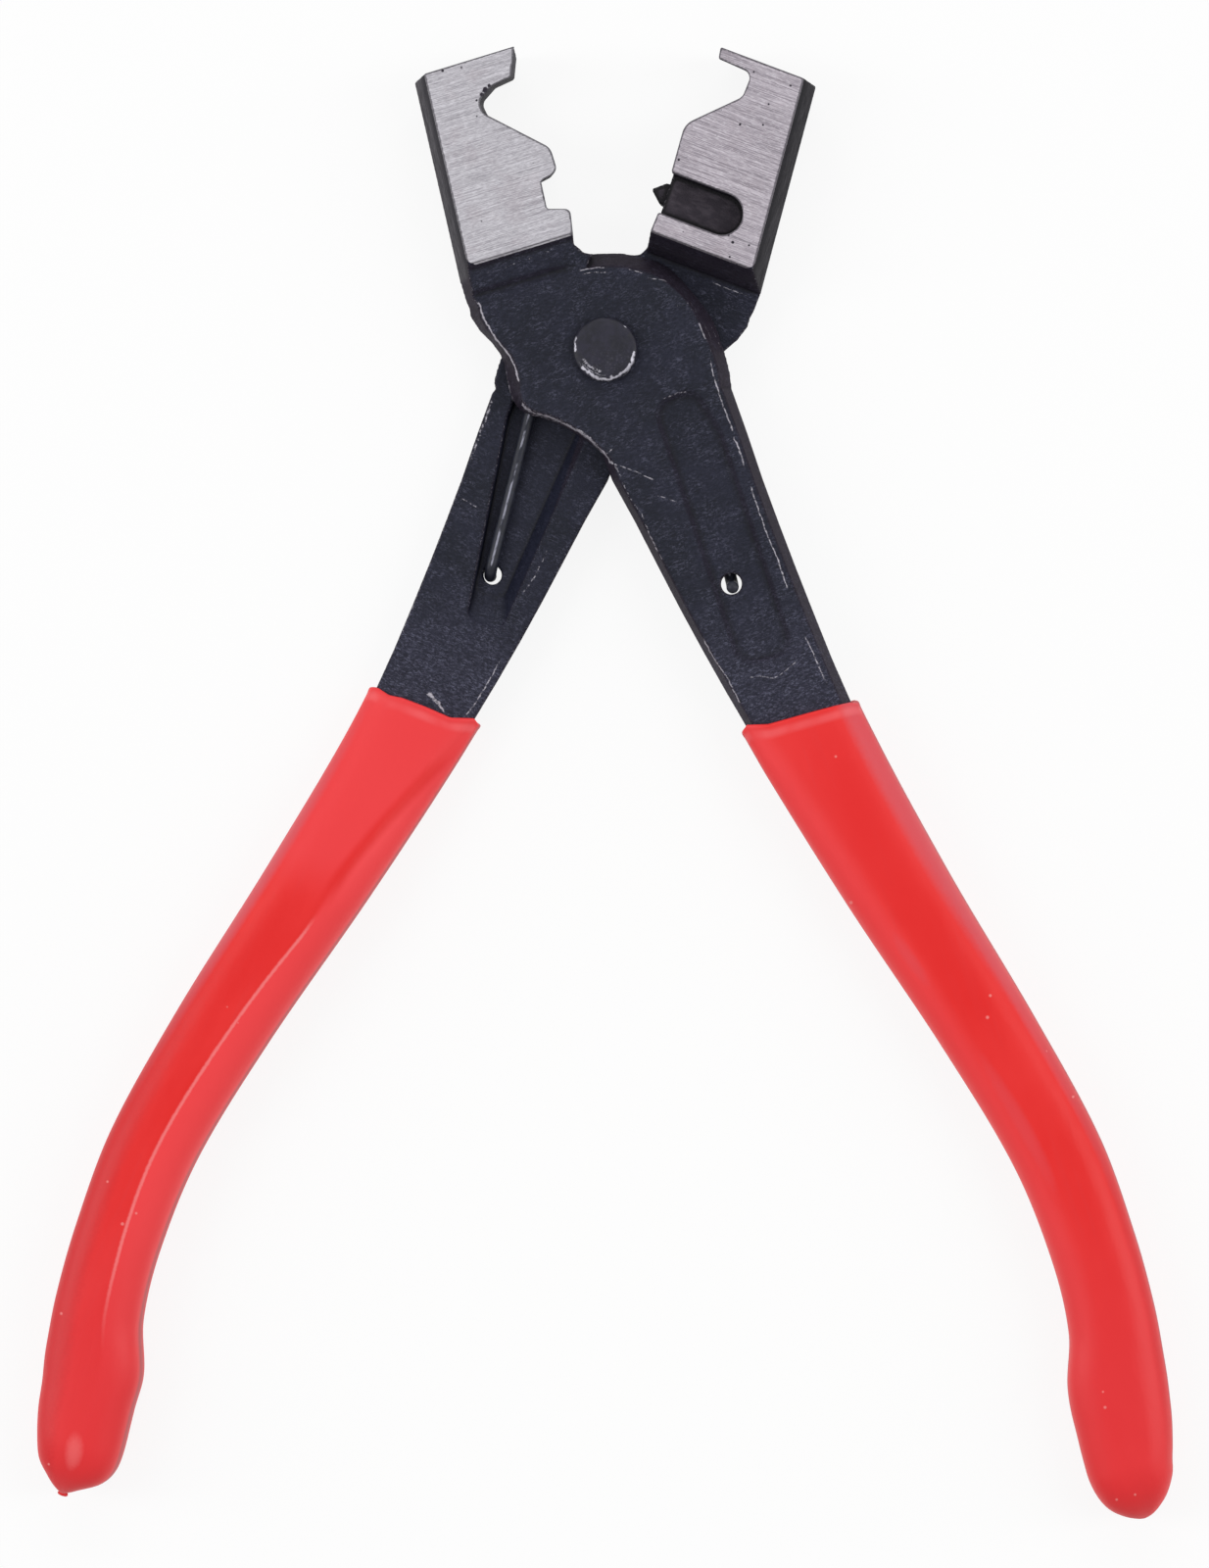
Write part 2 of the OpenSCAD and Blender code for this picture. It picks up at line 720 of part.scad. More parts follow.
// Whole lever blank: jaw, plate and handle bar, less its recesses and holes
module lever(hole, lean, neck, lip, reach, top_w, draft) {
    difference() {
        union() {
            intersection() {
                jaw_blank(reach, top_w, draft);
                children();
            }
            plate(neck);
            rotate(lean)
                loft(bar_rings(lip, neck));
        }
        translate([0, 0, -1])
            cylinder(d = rivet_d + 2 * rivet_clearance, h = jaw_thickness + 2, $fn = 96);
        lap_cut();
        crease_cut();
        spring_recess(hole, lean);
        rotate(lean) {
            panel_cut(neck);
            translate([hole.x, hole.y, 0])
                cylinder(d = hole[2], h = jaw_thickness + 1, $fn = 48);
        }
    }
}

module front_lever() {
    color("#30343c")
        place_front()
            lever(
                front_hole, jaw_lean, FRONT_NECK, front_grip_start, front_jaw_reach,
                front_jaw_top_w, front_jaw_draft
            )
                front_edge();
}

module back_lever() {
    color("#3a3634")
        place_back()
            union() {
                difference() {
                    lever(
                        back_hole, -jaw_lean, BACK_NECK, back_grip_start, back_jaw_reach,
                        back_jaw_top_w, back_jaw_draft
                    )
                        edge_cut(back_profile(), 0, -1, side_relief);
                    jaw_slot();
                }
                jaw_tooth();
            }
}

// Rivet peened over on both sides, its heads level with the ground jaw faces
module pivot_rivet() {
    head_r = rivet_d / 2 + rivet_flange / 2;
    back_seat = jaw_thickness - plate_z - seat_gap;
    color("#44464c")
        rotate_extrude($fn = 96)
            polygon([
                [0, 0],
                [head_r - rivet_bevel, 0],
                [head_r, rivet_bevel],
                [head_r, back_seat],
                [rivet_d / 2, back_seat],
                [rivet_d / 2, plate_z],
                [head_r, plate_z],
                [head_r, jaw_thickness - rivet_bevel],
                [head_r - rivet_bevel, jaw_thickness],
                [0, jaw_thickness]
            ]);
}

// Places of the spring's ends in the open pose, and the coil between them
function pin_place(hole, lean) =
    [hole.x, hole.y] + ((hole[2] - wire_d) / 2 - pin_gap) * [cos(lean), sin(lean)];
front_pin = turn(pin_place(front_hole, front_pin_lean), front_jaw_angle + jaw_lean);
back_pin_own = turn(pin_place(back_hole, back_pin_lean), -jaw_lean);
back_pin = turn([-back_pin_own.x, back_pin_own.y], -back_jaw_angle);
function touch_angle(pin, side) = atan2(pin.y, pin.x) + side * acos(coil_r / norm(pin));
front_touch = touch_angle(front_pin, 1);
back_touch = touch_angle(back_pin, -1) + 360;
coil_sweep = back_touch - front_touch + 360;
coil_rise = coil_pitch * coil_sweep / 360;
coil_low_z = mid_z - coil_rise / 2;
coil_high_z = mid_z + coil_rise / 2;
coil_segments = 40;
pin_end_gap = 0.4;

// Leg from the coil to its hole, bent into the hole; ends at the outer face's level
function leg_path(pin, touch, z, end_z) =
    let (
        start = coil_r * [cos(touch), sin(touch)],
        along = unit(pin - start),
        down = sign(end_z - z),
        turn_at = pin - along * bend_r
    )
    concat(
        [[mix(start.x, turn_at.x, 0.5), mix(start.y, turn_at.y, 0.5), z]],
        [
            for (i = [0 : 5])
                let (a = 90 * i / 5, p = turn_at + along * bend_r * sin(a))
                [p.x, p.y, z + down * bend_r * (1 - cos(a))]
        ],
        [[pin.x, pin.y, end_z]]
    );
function spring_path() = concat(
    reversed(leg_path(back_pin, back_touch, coil_low_z, jaw_thickness - plate_z + pin_end_gap)),
    [
        for (i = [0 : coil_segments])
            let (u = i / coil_segments, a = back_touch - coil_sweep * u)
            [coil_r * cos(a), coil_r * sin(a), mix(coil_low_z, coil_high_z, u)]
    ],
    leg_path(front_pin, front_touch, coil_high_z, plate_z - pin_end_gap)
);

// Round wire swept along a path, its rings carried along without twist
function path_way(path, i) =
    unit(path[min(i + 1, len(path) - 1)] - path[max(i - 1, 0)]);
function carried(path, i, side, found) =
    i == len(path) ? found :
    let (way = path_way(path, i), kept = unit(side - way * (side * way)))
    carried(path, i + 1, kept, concat(found, [kept]));
module wire(path, d) {
    sides = carried(path, 0, [1, 0, 0], []);
    loft([
        for (i = [0 : len(path) - 1])
            let (way = path_way(path, i), side = sides[i], up = cross(way, side))
            [
                for (j = [0 : wire_sides - 1])
                    let (a = 360 * j / wire_sides)
                    path[i] + d / 2 * (side * cos(a) + up * sin(a))
            ]
    ]);
}

module return_spring() {
    color("#55565a")
        wire(spring_path(), wire_d);
}

module front_grip() {
    color("#e23a3c")
        place_front()
            rotate(jaw_lean)
                grip(front_grip_start, FRONT_NECK);
}

module back_grip() {
    color("#e23a3c")
        place_back()
            rotate(-jaw_lean)
                grip(back_grip_start, BACK_NECK);
}

front_lever();
back_lever();
pivot_rivet();
return_spring();
front_grip();
back_grip();
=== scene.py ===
"""Looks of the hose clamp pliers: forged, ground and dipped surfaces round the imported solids."""

import math

import bpy
import numpy as np
from mathutils import Matrix, Vector, noise
from mathutils.bvhtree import BVHTree


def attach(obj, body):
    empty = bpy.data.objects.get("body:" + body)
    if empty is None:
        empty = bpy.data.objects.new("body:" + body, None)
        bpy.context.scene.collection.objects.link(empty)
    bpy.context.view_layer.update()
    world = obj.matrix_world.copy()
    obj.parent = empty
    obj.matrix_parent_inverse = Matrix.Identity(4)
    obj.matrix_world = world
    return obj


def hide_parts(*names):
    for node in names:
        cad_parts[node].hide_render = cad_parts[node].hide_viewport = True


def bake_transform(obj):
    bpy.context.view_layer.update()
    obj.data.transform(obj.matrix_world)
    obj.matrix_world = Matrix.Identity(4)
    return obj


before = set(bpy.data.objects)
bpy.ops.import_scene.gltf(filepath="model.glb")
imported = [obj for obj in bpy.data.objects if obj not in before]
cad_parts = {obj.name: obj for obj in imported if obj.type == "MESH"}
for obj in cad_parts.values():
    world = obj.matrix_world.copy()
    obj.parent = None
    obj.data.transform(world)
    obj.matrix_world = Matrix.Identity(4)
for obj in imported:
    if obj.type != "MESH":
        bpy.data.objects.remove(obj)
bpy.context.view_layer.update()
MM = 0.001

# Sizes shared with the solids, in millimetres and degrees
THICK = 12.0
MID_Z = THICK / 2
FRONT_ANGLE, BACK_ANGLE, LEAN = 16.5, 21, 1.93
LAP_Z, PLATE_Z, LAP_LOW = 6.1, 10.4, 5.7
GRIP_WALL = 1.0
LAP_END, JOGGLE = 52, 34.0
SET_IN_START, SET_IN_FADE = 38, 72.0
# Edges of the handle's blank as [along, outer, inner]
BAR_EDGES = [
    [8, 13.6, -5], [10.5, 14.6, -5.2], [14, 14.75, -5.5], [22, 14.7, -4.1], [40, 15.4, -1.2],
    [58, 16.75, 2.4], [82, 20.75, 8.05], [106, 25.9, 14.6], [124, 29.05, 18.6],
    [138, 29.4, 19.45], [148, 28.85, 18.5], [155, 27.9, 16], [162, 26.75, 15],
    [168, 25.4, 14.9],
]
# How far each neck's (outer, inner) edge lies further in than the blank's
FRONT_NECK, BACK_NECK = (0, 0), (1.25, 0.7)


# Geometry helpers
def turn(points, angle):
    """Points turned about Z by an angle in degrees."""
    p = np.array(points, float)
    c, s = math.cos(math.radians(angle)), math.sin(math.radians(angle))
    out = p.copy()
    out[..., 0] = p[..., 0] * c - p[..., 1] * s
    out[..., 1] = p[..., 0] * s + p[..., 1] * c
    return out


def ease(u):
    """Smooth step from 0 to 1."""
    c = np.clip(u, 0, 1)
    return c * c * (3 - 2 * c)


def span(high, low, u):
    """Place between low and high for u from -1 to 1."""
    return (high + low) / 2 + (high - low) / 2 * u


def signed_power(wave, n):
    """Sine or cosine squared off to that of a superellipse of power n."""
    return np.sign(wave) * np.abs(wave) ** (2 / n)


def smooth_table(tab, t, k):
    """Smooth value of column k in a table, read at t, as in the solids."""
    tab = np.array(tab, float)
    t = np.asarray(t, float)
    i = np.clip(np.searchsorted(tab[:, 0], t, side="right") - 1, 0, len(tab) - 2)
    rows = np.arange(len(tab))
    below, above = np.maximum(rows - 1, 0), np.minimum(rows + 1, len(tab) - 1)
    slopes = (tab[above, k] - tab[below, k]) / (tab[above, 0] - tab[below, 0])
    h = tab[i + 1, 0] - tab[i, 0]
    u = (t - tab[i, 0]) / h
    a, b, m, n = tab[i, k], tab[i + 1, k], slopes[i] * h, slopes[i + 1] * h
    return (a * (2 * u**3 - 3 * u**2 + 1) + m * (u**3 - 2 * u**2 + u)
            + b * (3 * u**2 - 2 * u**3) + n * (u**3 - u**2))


def curve_through(points, steps=16):
    """Dense points on a smooth curve through the given ones."""
    p = np.array(points, float)
    p = np.vstack([2 * p[0] - p[1], p, 2 * p[-1] - p[-2]])
    out = []
    for a, b, c, d in zip(p, p[1:], p[2:], p[3:]):
        for i in range(steps):
            t = i / steps
            out.append(0.5 * (2 * b + (c - a) * t + (2 * a - 5 * b + 4 * c - d) * t**2
                              + (3 * b - a - 3 * c + d) * t**3))
    out.append(p[-2])
    return np.array(out)


def to_front_handle(p):
    """World millimetres to the front lever's handle frame: across, -along, z."""
    return turn(p, -FRONT_ANGLE - LEAN)


def from_front_handle(p):
    return turn(p, FRONT_ANGLE + LEAN)


def flip(p):
    """The back lever is the front one's blank turned over."""
    out = np.array(p, float)
    out[..., 0] = -out[..., 0]
    out[..., 2] = THICK - out[..., 2]
    return out


def to_back_handle(p):
    return turn(flip(turn(p, BACK_ANGLE)), LEAN)


def from_back_handle(p):
    return turn(flip(turn(p, -LEAN)), -BACK_ANGLE)


def add_object(name, data):
    made = bpy.data.objects.new(name, data)
    bpy.context.scene.collection.objects.link(made)
    return made


def mesh_object(name, points_mm, faces):
    mesh = bpy.data.meshes.new(name)
    mesh.from_pydata([tuple(v) for v in np.asarray(points_mm) * MM], [], faces)
    mesh.validate()
    mesh.update()
    mesh.shade_smooth()
    return add_object(name, mesh)


def ring_faces(rings, around, first=0):
    """Faces between rings of points that follow one another from the point first on."""
    faces = []
    for i in range(rings - 1):
        for j in range(around):
            a, b = first + i * around + j, first + i * around + (j + 1) % around
            faces.append((a, b, b + around, a + around))
    return faces


def cap_faces(rings, around):
    """The two faces that close a row of rings at its ends."""
    last = (rings - 1) * around
    return [tuple(range(around - 1, -1, -1)), tuple(last + j for j in range(around))]


def put_attributes(obj, **fields):
    for name, values in fields.items():
        layer = obj.data.attributes.get(name) or obj.data.attributes.new(name, "FLOAT", "POINT")
        layer.data.foreach_set("value", np.asarray(values, np.float32))


def lumps(points, scale, seed):
    """Soft noise from -1 to 1 at points in millimetres."""
    shift = Vector((seed, seed * 1.7, -seed))
    return np.array([noise.noise(Vector(p) * scale + shift) for p in points])


def line_field(points, lines):
    """Signed distance to the nearest line over its width, and that line's strength, at each point."""
    far = 9.0
    nearest = np.full(len(points), far)
    at, amount = np.full(len(points), far), np.zeros(len(points))
    for line, width, strength in lines:
        line = np.array(line, float)
        low, high = line.min(0) - 1.5, line.max(0) + 1.5
        here = np.flatnonzero(((points[:, :2] > low) & (points[:, :2] < high)).all(1))
        runs = np.linalg.norm(np.diff(line, axis=0), axis=1)
        total, done = runs.sum(), 0.0
        for a, b, run in zip(line, line[1:], runs):
            ab, ap = b - a, points[here, :2] - a
            along = ap @ ab / (ab @ ab)
            u = np.clip(along, 0, 1)
            away = np.linalg.norm(ap - u[:, None] * ab, axis=1)
            sign = np.sign(ab[0] * ap[:, 1] - ab[1] * ap[:, 0])
            place = done + along * run
            ends = ease(np.minimum(place, total - place) / 0.7 + 0.25)
            closer = away < nearest[here]
            index = here[closer]
            nearest[index] = away[closer]
            at[index] = (sign * away / width)[closer]
            amount[index] = (strength * ends * (1 - ease((away - 0.55) / 0.4)))[closer]
            done += run
    return at, amount


# Node graph helpers
EVEN = (1, 1, 1)
WHITE = (1, 1, 1, 1)


class Graph:
    """A node tree, built by short calls; a value is a number, a colour or another node's output."""

    def __init__(self, tree):
        self.tree = tree

    def put(self, socket, value):
        if isinstance(value, bpy.types.NodeSocket):
            self.tree.links.new(value, socket)
        else:
            socket.default_value = value

    def fill(self, sockets, *values):
        for socket, value in zip(sockets, values):
            self.put(socket, value)

    def node(self, kind, settings=None, **inputs):
        made = self.tree.nodes.new("ShaderNode" + kind)
        for key, value in (settings or {}).items():
            setattr(made, key, value)
        for key, value in inputs.items():
            self.put(made.inputs[key.replace("_", " ")], value)
        return made

    def math(self, operation, *values):
        made = self.node("Math", {"operation": operation})
        self.fill(made.inputs, *values)
        return made.outputs[0]

    def largest(self, first, *rest):
        for value in rest:
            first = self.math("MAXIMUM", first, value)
        return first

    def times(self, a, b):
        return self.math("MULTIPLY", a, b)

    def plus(self, a, b):
        return self.math("ADD", a, b)

    def without(self, value, share):
        """1 less a share of the value."""
        return self.math("SUBTRACT", 1, self.times(value, share))

    def swing(self, value, reach):
        """Noise brought round 0 and stretched to the reach."""
        return self.times(self.math("SUBTRACT", value, 0.5), reach)

    def vector(self, operation, a, b):
        made = self.node("VectorMath", {"operation": operation})
        self.fill(made.inputs, a, b)
        return made.outputs["Value" if operation == "DISTANCE" else "Vector"]

    def step(self, value, low, high):
        """Smooth step of value from low to high."""
        made = self.node("MapRange", {"interpolation_type": "SMOOTHSTEP"})
        self.fill(made.inputs, value, low, high, 0, 1)
        return made.outputs[0]

    def blend(self, share, a, b):
        """Colour between a and b."""
        made = self.node("Mix", {"data_type": "RGBA"})
        self.fill(made.inputs[:1] + made.inputs[6:8], share, a, b)
        return made.outputs[2]

    def tint(self, colour, tone, where, strength):
        """Colour moved towards a tone where something shows, by up to the strength."""
        return self.blend(self.times(where, strength), colour, tone)

    def mix(self, share, a, b):
        """Number between a and b."""
        made = self.node("Mix", {"data_type": "FLOAT"})
        self.fill(made.inputs[:1] + made.inputs[2:4], share, a, b)
        return made.outputs[0]

    def attribute(self, name):
        return self.node("Attribute", {"attribute_name": name}).outputs["Fac"]

    def noise(self, where, scale, detail, rough, distort=0):
        return self.node("TexNoise", Vector=where, Scale=scale, Detail=detail,
                         Roughness=rough, Distortion=distort).outputs["Fac"]

    def spots(self, where, scale):
        """Distance to the nearest of scattered spots."""
        return self.node("TexVoronoi", Vector=where, Scale=scale).outputs["Distance"]

    def bump(self, height, strength, distance_mm):
        return self.node("Bump", Strength=strength, Distance=distance_mm * MM, Height=height).outputs[0]

    def straight_rays(self):
        """1 for what the camera sees, directly, in a shiny surface or through a clear one."""
        ray = self.node("LightPath").outputs
        return self.largest(ray["Is Camera Ray"], ray["Is Glossy Ray"], ray["Is Transmission Ray"])


class Material(Graph):
    """A new material and its node tree; the seed shifts its patterns."""

    def __init__(self, name, seed=0):
        self.material = bpy.data.materials.new(name)
        self.material.use_nodes = True
        super().__init__(self.material.node_tree)
        self.tree.nodes.clear()
        self.out = self.tree.nodes.new("ShaderNodeOutputMaterial")
        self.shift = (seed, seed * 0.7, seed * 1.3)

    def place(self, angle=0, stretch=EVEN, shift=(0, 0, 0)):
        """Object coordinates in millimetres, turned back by angle and stretched."""
        coords = self.node("TexCoord").outputs["Object"]
        turned = self.node("VectorRotate", {"rotation_type": "Z_AXIS"}, Vector=coords,
                           Angle=math.radians(-angle)).outputs[0]
        scaled = self.vector("MULTIPLY", turned, tuple(s / MM for s in stretch))
        return self.vector("ADD", scaled, shift)

    def pattern(self, angle, stretch, scale, detail, rough, distort=0):
        """Noise turned by angle and stretched, shifted by the material's seed."""
        return self.noise(self.place(angle, stretch, self.shift), scale, detail, rough, distort)

    def surface(self, made):
        self.tree.links.new(made.outputs[0], self.out.inputs["Surface"])
        return self.material

    def shader(self, **inputs):
        return self.surface(self.node("BsdfPrincipled", **inputs))


def rgb(red, green, blue):
    """Linear colour of a colour as seen, 0 to 255."""
    return tuple(((c / 255 + 0.055) / 1.055) ** 2.4 if c > 10 else c / 255 / 12.92
                 for c in (red, green, blue)) + (1,)


# Camera as in the photograph: above the flat pliers and a little to their right
camera_data = bpy.data.cameras.new("camera")
camera_data.sensor_width = 36
camera_data.lens = 149.3
camera_data.clip_start, camera_data.clip_end = 0.05, 20
camera = add_object("camera", camera_data)
camera.location = (0.070, -0.0596, 0.900)
aim = (Vector((-0.00047, -0.0596, 0.006)) - camera.location).normalized()
right = aim.cross(Vector((0, 1, 0))).normalized()
camera.rotation_euler = Matrix((right, right.cross(aim), -aim)).transposed().to_euler()
bpy.context.scene.camera = camera


# Forged levers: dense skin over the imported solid, edges slightly rounded. HOLD is how far each
# round of smoothing is taken back to the solid
VOXEL = 0.24
HOLD = 0.8


def neighbour_mean(values, edges, share, rounds=1):
    """Values moved by a share towards the mean of their neighbours on the skin, some rounds over."""
    values = np.asarray(values, float)
    flat = values.reshape(len(values), -1)
    a, b = edges.T
    count = np.bincount(edges.ravel(), minlength=len(flat)).astype(float)
    for _ in range(rounds):
        total = np.stack([np.bincount(a, flat[b, k], len(flat)) + np.bincount(b, flat[a, k], len(flat))
                          for k in range(flat.shape[1])], 1)
        flat = flat + (total / count[:, None] - flat) * share
    return flat.reshape(values.shape)


def read_mesh(collection, field, width, kind=float):
    """One field of a mesh's vertices or edges as rows of an array."""
    values = np.empty(len(collection) * width, kind)
    collection.foreach_get(field, values)
    return values.reshape(-1, width)


def dense_skin(node, name):
    """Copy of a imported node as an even, closed skin that keeps close to the solid."""
    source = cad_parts[node]
    work = add_object(name + "_work", source.data.copy())
    remesh = work.modifiers.new("skin", "REMESH")
    remesh.mode = "VOXEL"
    remesh.voxel_size = VOXEL * MM
    mesh = bpy.data.meshes.new_from_object(work.evaluated_get(bpy.context.evaluated_depsgraph_get()))
    bpy.data.objects.remove(work)
    mesh.name = name
    made = add_object(name, mesh)
    co = read_mesh(mesh.vertices, "co", 3)
    edges = read_mesh(mesh.edges, "vertices", 2, int)
    tree = BVHTree.FromPolygons([v.co for v in source.data.vertices],
                                [p.vertices for p in source.data.polygons])
    for _ in range(3):
        co = neighbour_mean(co, edges, 0.5)
        near = np.array([tree.find_nearest(p)[0] for p in co])
        co += (near - co) * HOLD
    mesh.vertices.foreach_set("co", co.ravel())
    mesh.update()
    mesh.materials.clear()
    mesh.shade_smooth()
    return made, co / MM, edges


def bend_of_skin(mesh, co, edges):
    """Signed bend at each point, above 0 on outer edges and below 0 in creases, and the normals."""
    normals = read_mesh(mesh.vertices, "normal", 3)
    a, b = edges.T
    away = co[a] - co[b]
    away /= np.linalg.norm(away, axis=1)[:, None] + 1e-12
    count = np.bincount(edges.ravel(), minlength=len(co)).astype(float)
    total = (np.bincount(a, (normals[a] * away).sum(1), len(co))
             + np.bincount(b, -(normals[b] * away).sum(1), len(co)))
    return total / count, normals


# Radius that rounds off the ground faces' lower outer corners
CORNER_R = 1.3
# Heights along the jaw from which a face can be ground, walls are the jaw's and the slot can lie
FACE_FROM, WALL_FROM, SLOT_FROM = 13.5, 14.4, 16.5
# The trough for the spring's leg, in the handle's frame, as [low, high] in x, y and z
TROUGH = [[0, 11], [-42, -7], [LAP_Z + 0.2, LAP_Z + 2.6]]
# Below this level less of a worn line shows on a wall
WALL_WEAR_TOP = 8.6


def forged_lever(node, name, body, to_handle, jaw_angle, face_corner, lines, more_lines, line_level):
    """Skin of one lever with what its material needs: worn lines, side walls, creases, ground faces
    rounded off at their lower outer corner, the sunk trough for the spring's leg, the jaw and the
    part of the neck close to the grip."""
    made, co, edges = dense_skin(node, name)
    bend, normals = bend_of_skin(made.data, co, edges)
    bend = neighbour_mean(bend, edges, 0.5)
    flatness = np.abs(normals[:, 2])
    facing = neighbour_mean(flatness, edges, 0.5, 2)
    handle, jaw, jaw_normals = to_handle(co), turn(co, -jaw_angle), turn(normals, -jaw_angle)
    level, up = co[:, 2], normals[:, 2]
    over = np.where(level > MID_Z, level, THICK - level)

    corner_x, corner_y = face_corner
    inward = np.stack([(corner_x - jaw[:, 0]) * np.sign(corner_x), jaw[:, 1] - corner_y], 1)
    beyond = np.linalg.norm(CORNER_R - np.clip(inward, 0, CORNER_R), axis=1) - CORNER_R
    walls = 1 - np.clip((facing - 0.5) / 0.3, 0, 1)
    foot = ease((-jaw_normals[:, 1] - 0.2) / 0.3)
    sunk = (jaw[:, 1] > SLOT_FROM) & (flatness > 0.8) & (over > 7.5) & (over < 11.5)
    trough_low, trough_high = np.transpose(TROUGH)
    in_trough = ((handle > trough_low) & (handle < trough_high)).all(1)
    seen = (level > line_level) & (up > -0.2)
    seen = seen * np.where((up < 0.8) & (level < WALL_WEAR_TOP), 0.3, 1)

    put_attributes(
        made,
        edge=np.clip(bend / 0.14, 0, 1),
        side=np.clip((0.94 - facing) / 0.3, 0, 1),
        crease=np.clip(-neighbour_mean(bend, edges, 0.6, 2) / 0.10, 0, 1),
        ground=np.where(jaw[:, 1] > FACE_FROM, over - 0.5 * ease(beyond / 0.3), 0),
        jaw=ease((jaw[:, 1] - WALL_FROM) / 1.2) * walls * (1 - 0.75 * foot),
        inlay=neighbour_mean(sunk, edges, 0.8, 7),
        recess=neighbour_mean(in_trough, edges, 0.5),
        near_grip=ease((-handle[:, 1] - 34) / 16),
    )
    for channel, some in (("a", lines), ("b", more_lines)):
        at, amount = line_field(co, some)
        put_attributes(made, **{"line_" + channel: at, "amount_" + channel: amount * seen})
    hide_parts(node)
    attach(made, body)
    return made


def worn_lines(g, channel, grit):
    """Where a channel of worn lines shows, wandering and broken up by noise."""
    wander = g.swing(g.noise(g.place(), 1.3, 2, 0.6), 2.6)
    at = g.math("ABSOLUTE", g.plus(g.attribute("line_" + channel), wander))
    at = g.plus(at, g.swing(grit, 1.6))
    breaks = g.swing(g.noise(g.place(), 1.9, 3, 0.75), 2.6)
    amount = g.plus(g.attribute("amount_" + channel), breaks)
    return g.times(g.step(at, 0.85, 0.2), g.step(amount, 0.3, 0.8))


# Tones of the black skin, with painted highlights and shade on its wrinkles and painted shade in
# creases, the jaws' walls and slot, with painted shade round the slot's rim, and the ground steel,
# with painted shade along its rounded rim
SKIN_DEEP, SKIN_PALE = rgb(17, 20, 33), rgb(27, 29, 44)
SKIN_NEAR_GRIP, SKIN_RECESS = rgb(46, 46, 62), rgb(30, 32, 47)
WRINKLE_SHADE, WRINKLE_GLINT, CREASE_SHADE = rgb(10, 11, 20), rgb(98, 99, 119), rgb(8, 8, 14)
WALL_STREAK, WALL_LOW = rgb(98, 95, 102), rgb(140, 137, 142)
SLOT_RIM_SHADE, SLOT_PALE = rgb(16, 14, 19), rgb(66, 60, 68)
WORN_STEEL = rgb(186, 182, 192)
LONG_SCRATCH, CROSS_SCRATCH, STAIN = rgb(112, 109, 116), rgb(104, 100, 108), rgb(152, 142, 148)
GRAIN_DARK, GRAIN_PALE = rgb(122, 120, 127), rgb(216, 214, 220)
PIT, FACE_RIM_SHADE = rgb(46, 43, 50), rgb(62, 59, 66)


def black_skin(g, handle_angle, wall, side, recess):
    """Forged skin: fine wrinkles across the handle over a mottled dark oxide, with painted highlights on the
    wrinkles' crests and painted shade in their valleys. Gives the colour, the wrinkles and the patches
    that other marks follow."""
    near_grip = g.attribute("near_grip")
    wave = g.pattern(handle_angle, (1.5, 3.7, 2.5), 1, 3, 0.62, 1.1)
    ripple = g.pattern(handle_angle + 7, (2.6, 6.5, 4), 1, 2, 0.6, 1.6)
    patch = g.pattern(0, EVEN, 0.42, 3, 0.6)
    # Painted highlights on the wrinkles' crests, more in patches and near the grip, fewer on walls and in
    # the trough
    thick = g.plus(g.times(g.step(patch, 0.40, 0.62), 0.5), g.plus(0.15, g.times(near_grip, 0.5)))
    crest = g.plus(g.times(wave, 0.6), g.times(ripple, 0.4))
    crest_glint = g.times(g.step(crest, 0.49, 0.62), thick)
    crest_glint = g.times(g.times(crest_glint, g.without(side, 0.55)), g.without(recess, 0.25))
    cloud = g.pattern(0, EVEN, 0.17, 2, 0.5)
    colour = g.blend(g.step(cloud, 0.35, 0.68), SKIN_DEEP, SKIN_PALE)
    colour = g.tint(colour, SKIN_NEAR_GRIP, near_grip, 0.6)
    colour = g.tint(colour, SKIN_RECESS, recess, 0.6)
    colour = g.tint(colour, wall, side, g.math("SUBTRACT", 0.8, g.times(recess, 0.8)))
    # Painted shade in the wrinkles' valleys
    colour = g.tint(colour, WRINKLE_SHADE, g.step(crest, 0.50, 0.38), 0.6)
    return g.tint(colour, WRINKLE_GLINT, crest_glint, 0.74), crest, patch


def jaw_skin(g, colour, jaw_angle, look, jaw, grit):
    """Drawn streaks on the jaws' walls, painted shade in the creases and round the slot's rim, and the sunk
    face of the slot.
    """
    drawn = g.pattern(jaw_angle, (0.5, 0.45, 4.6), 1, 3, 0.65)
    # Jaw wall tone per lever, carrying painted light and shade: darker on the back lever
    wall = g.tint(look["jaw_wall_light_and_shade"], WALL_STREAK, g.step(drawn, 0.4, 0.75), look["streaks"] * 0.7)
    low = g.step(g.plus(g.attribute("ground"), g.times(grit, 2)), 11.9, 9.6)
    wall = g.tint(wall, WALL_LOW, g.times(low, g.step(drawn, 0.25, 0.75)), look["streaks"])
    colour = g.tint(colour, wall, jaw, 0.9)
    # Painted shade in the creases
    colour = g.tint(colour, CREASE_SHADE, g.attribute("crease"), 0.8)
    smear = g.step(g.pattern(jaw_angle, (0.5, 1.1, 1), 1, 3, 0.6), 0.4, 0.7)
    inlay = g.attribute("inlay")
    # Painted shade round the sunk slot's rim
    colour = g.blend(g.step(inlay, 0.05, 0.3), colour, SLOT_RIM_SHADE)
    return g.blend(g.step(inlay, 0.78, 0.97), colour, g.blend(smear, look["slot"], SLOT_PALE))


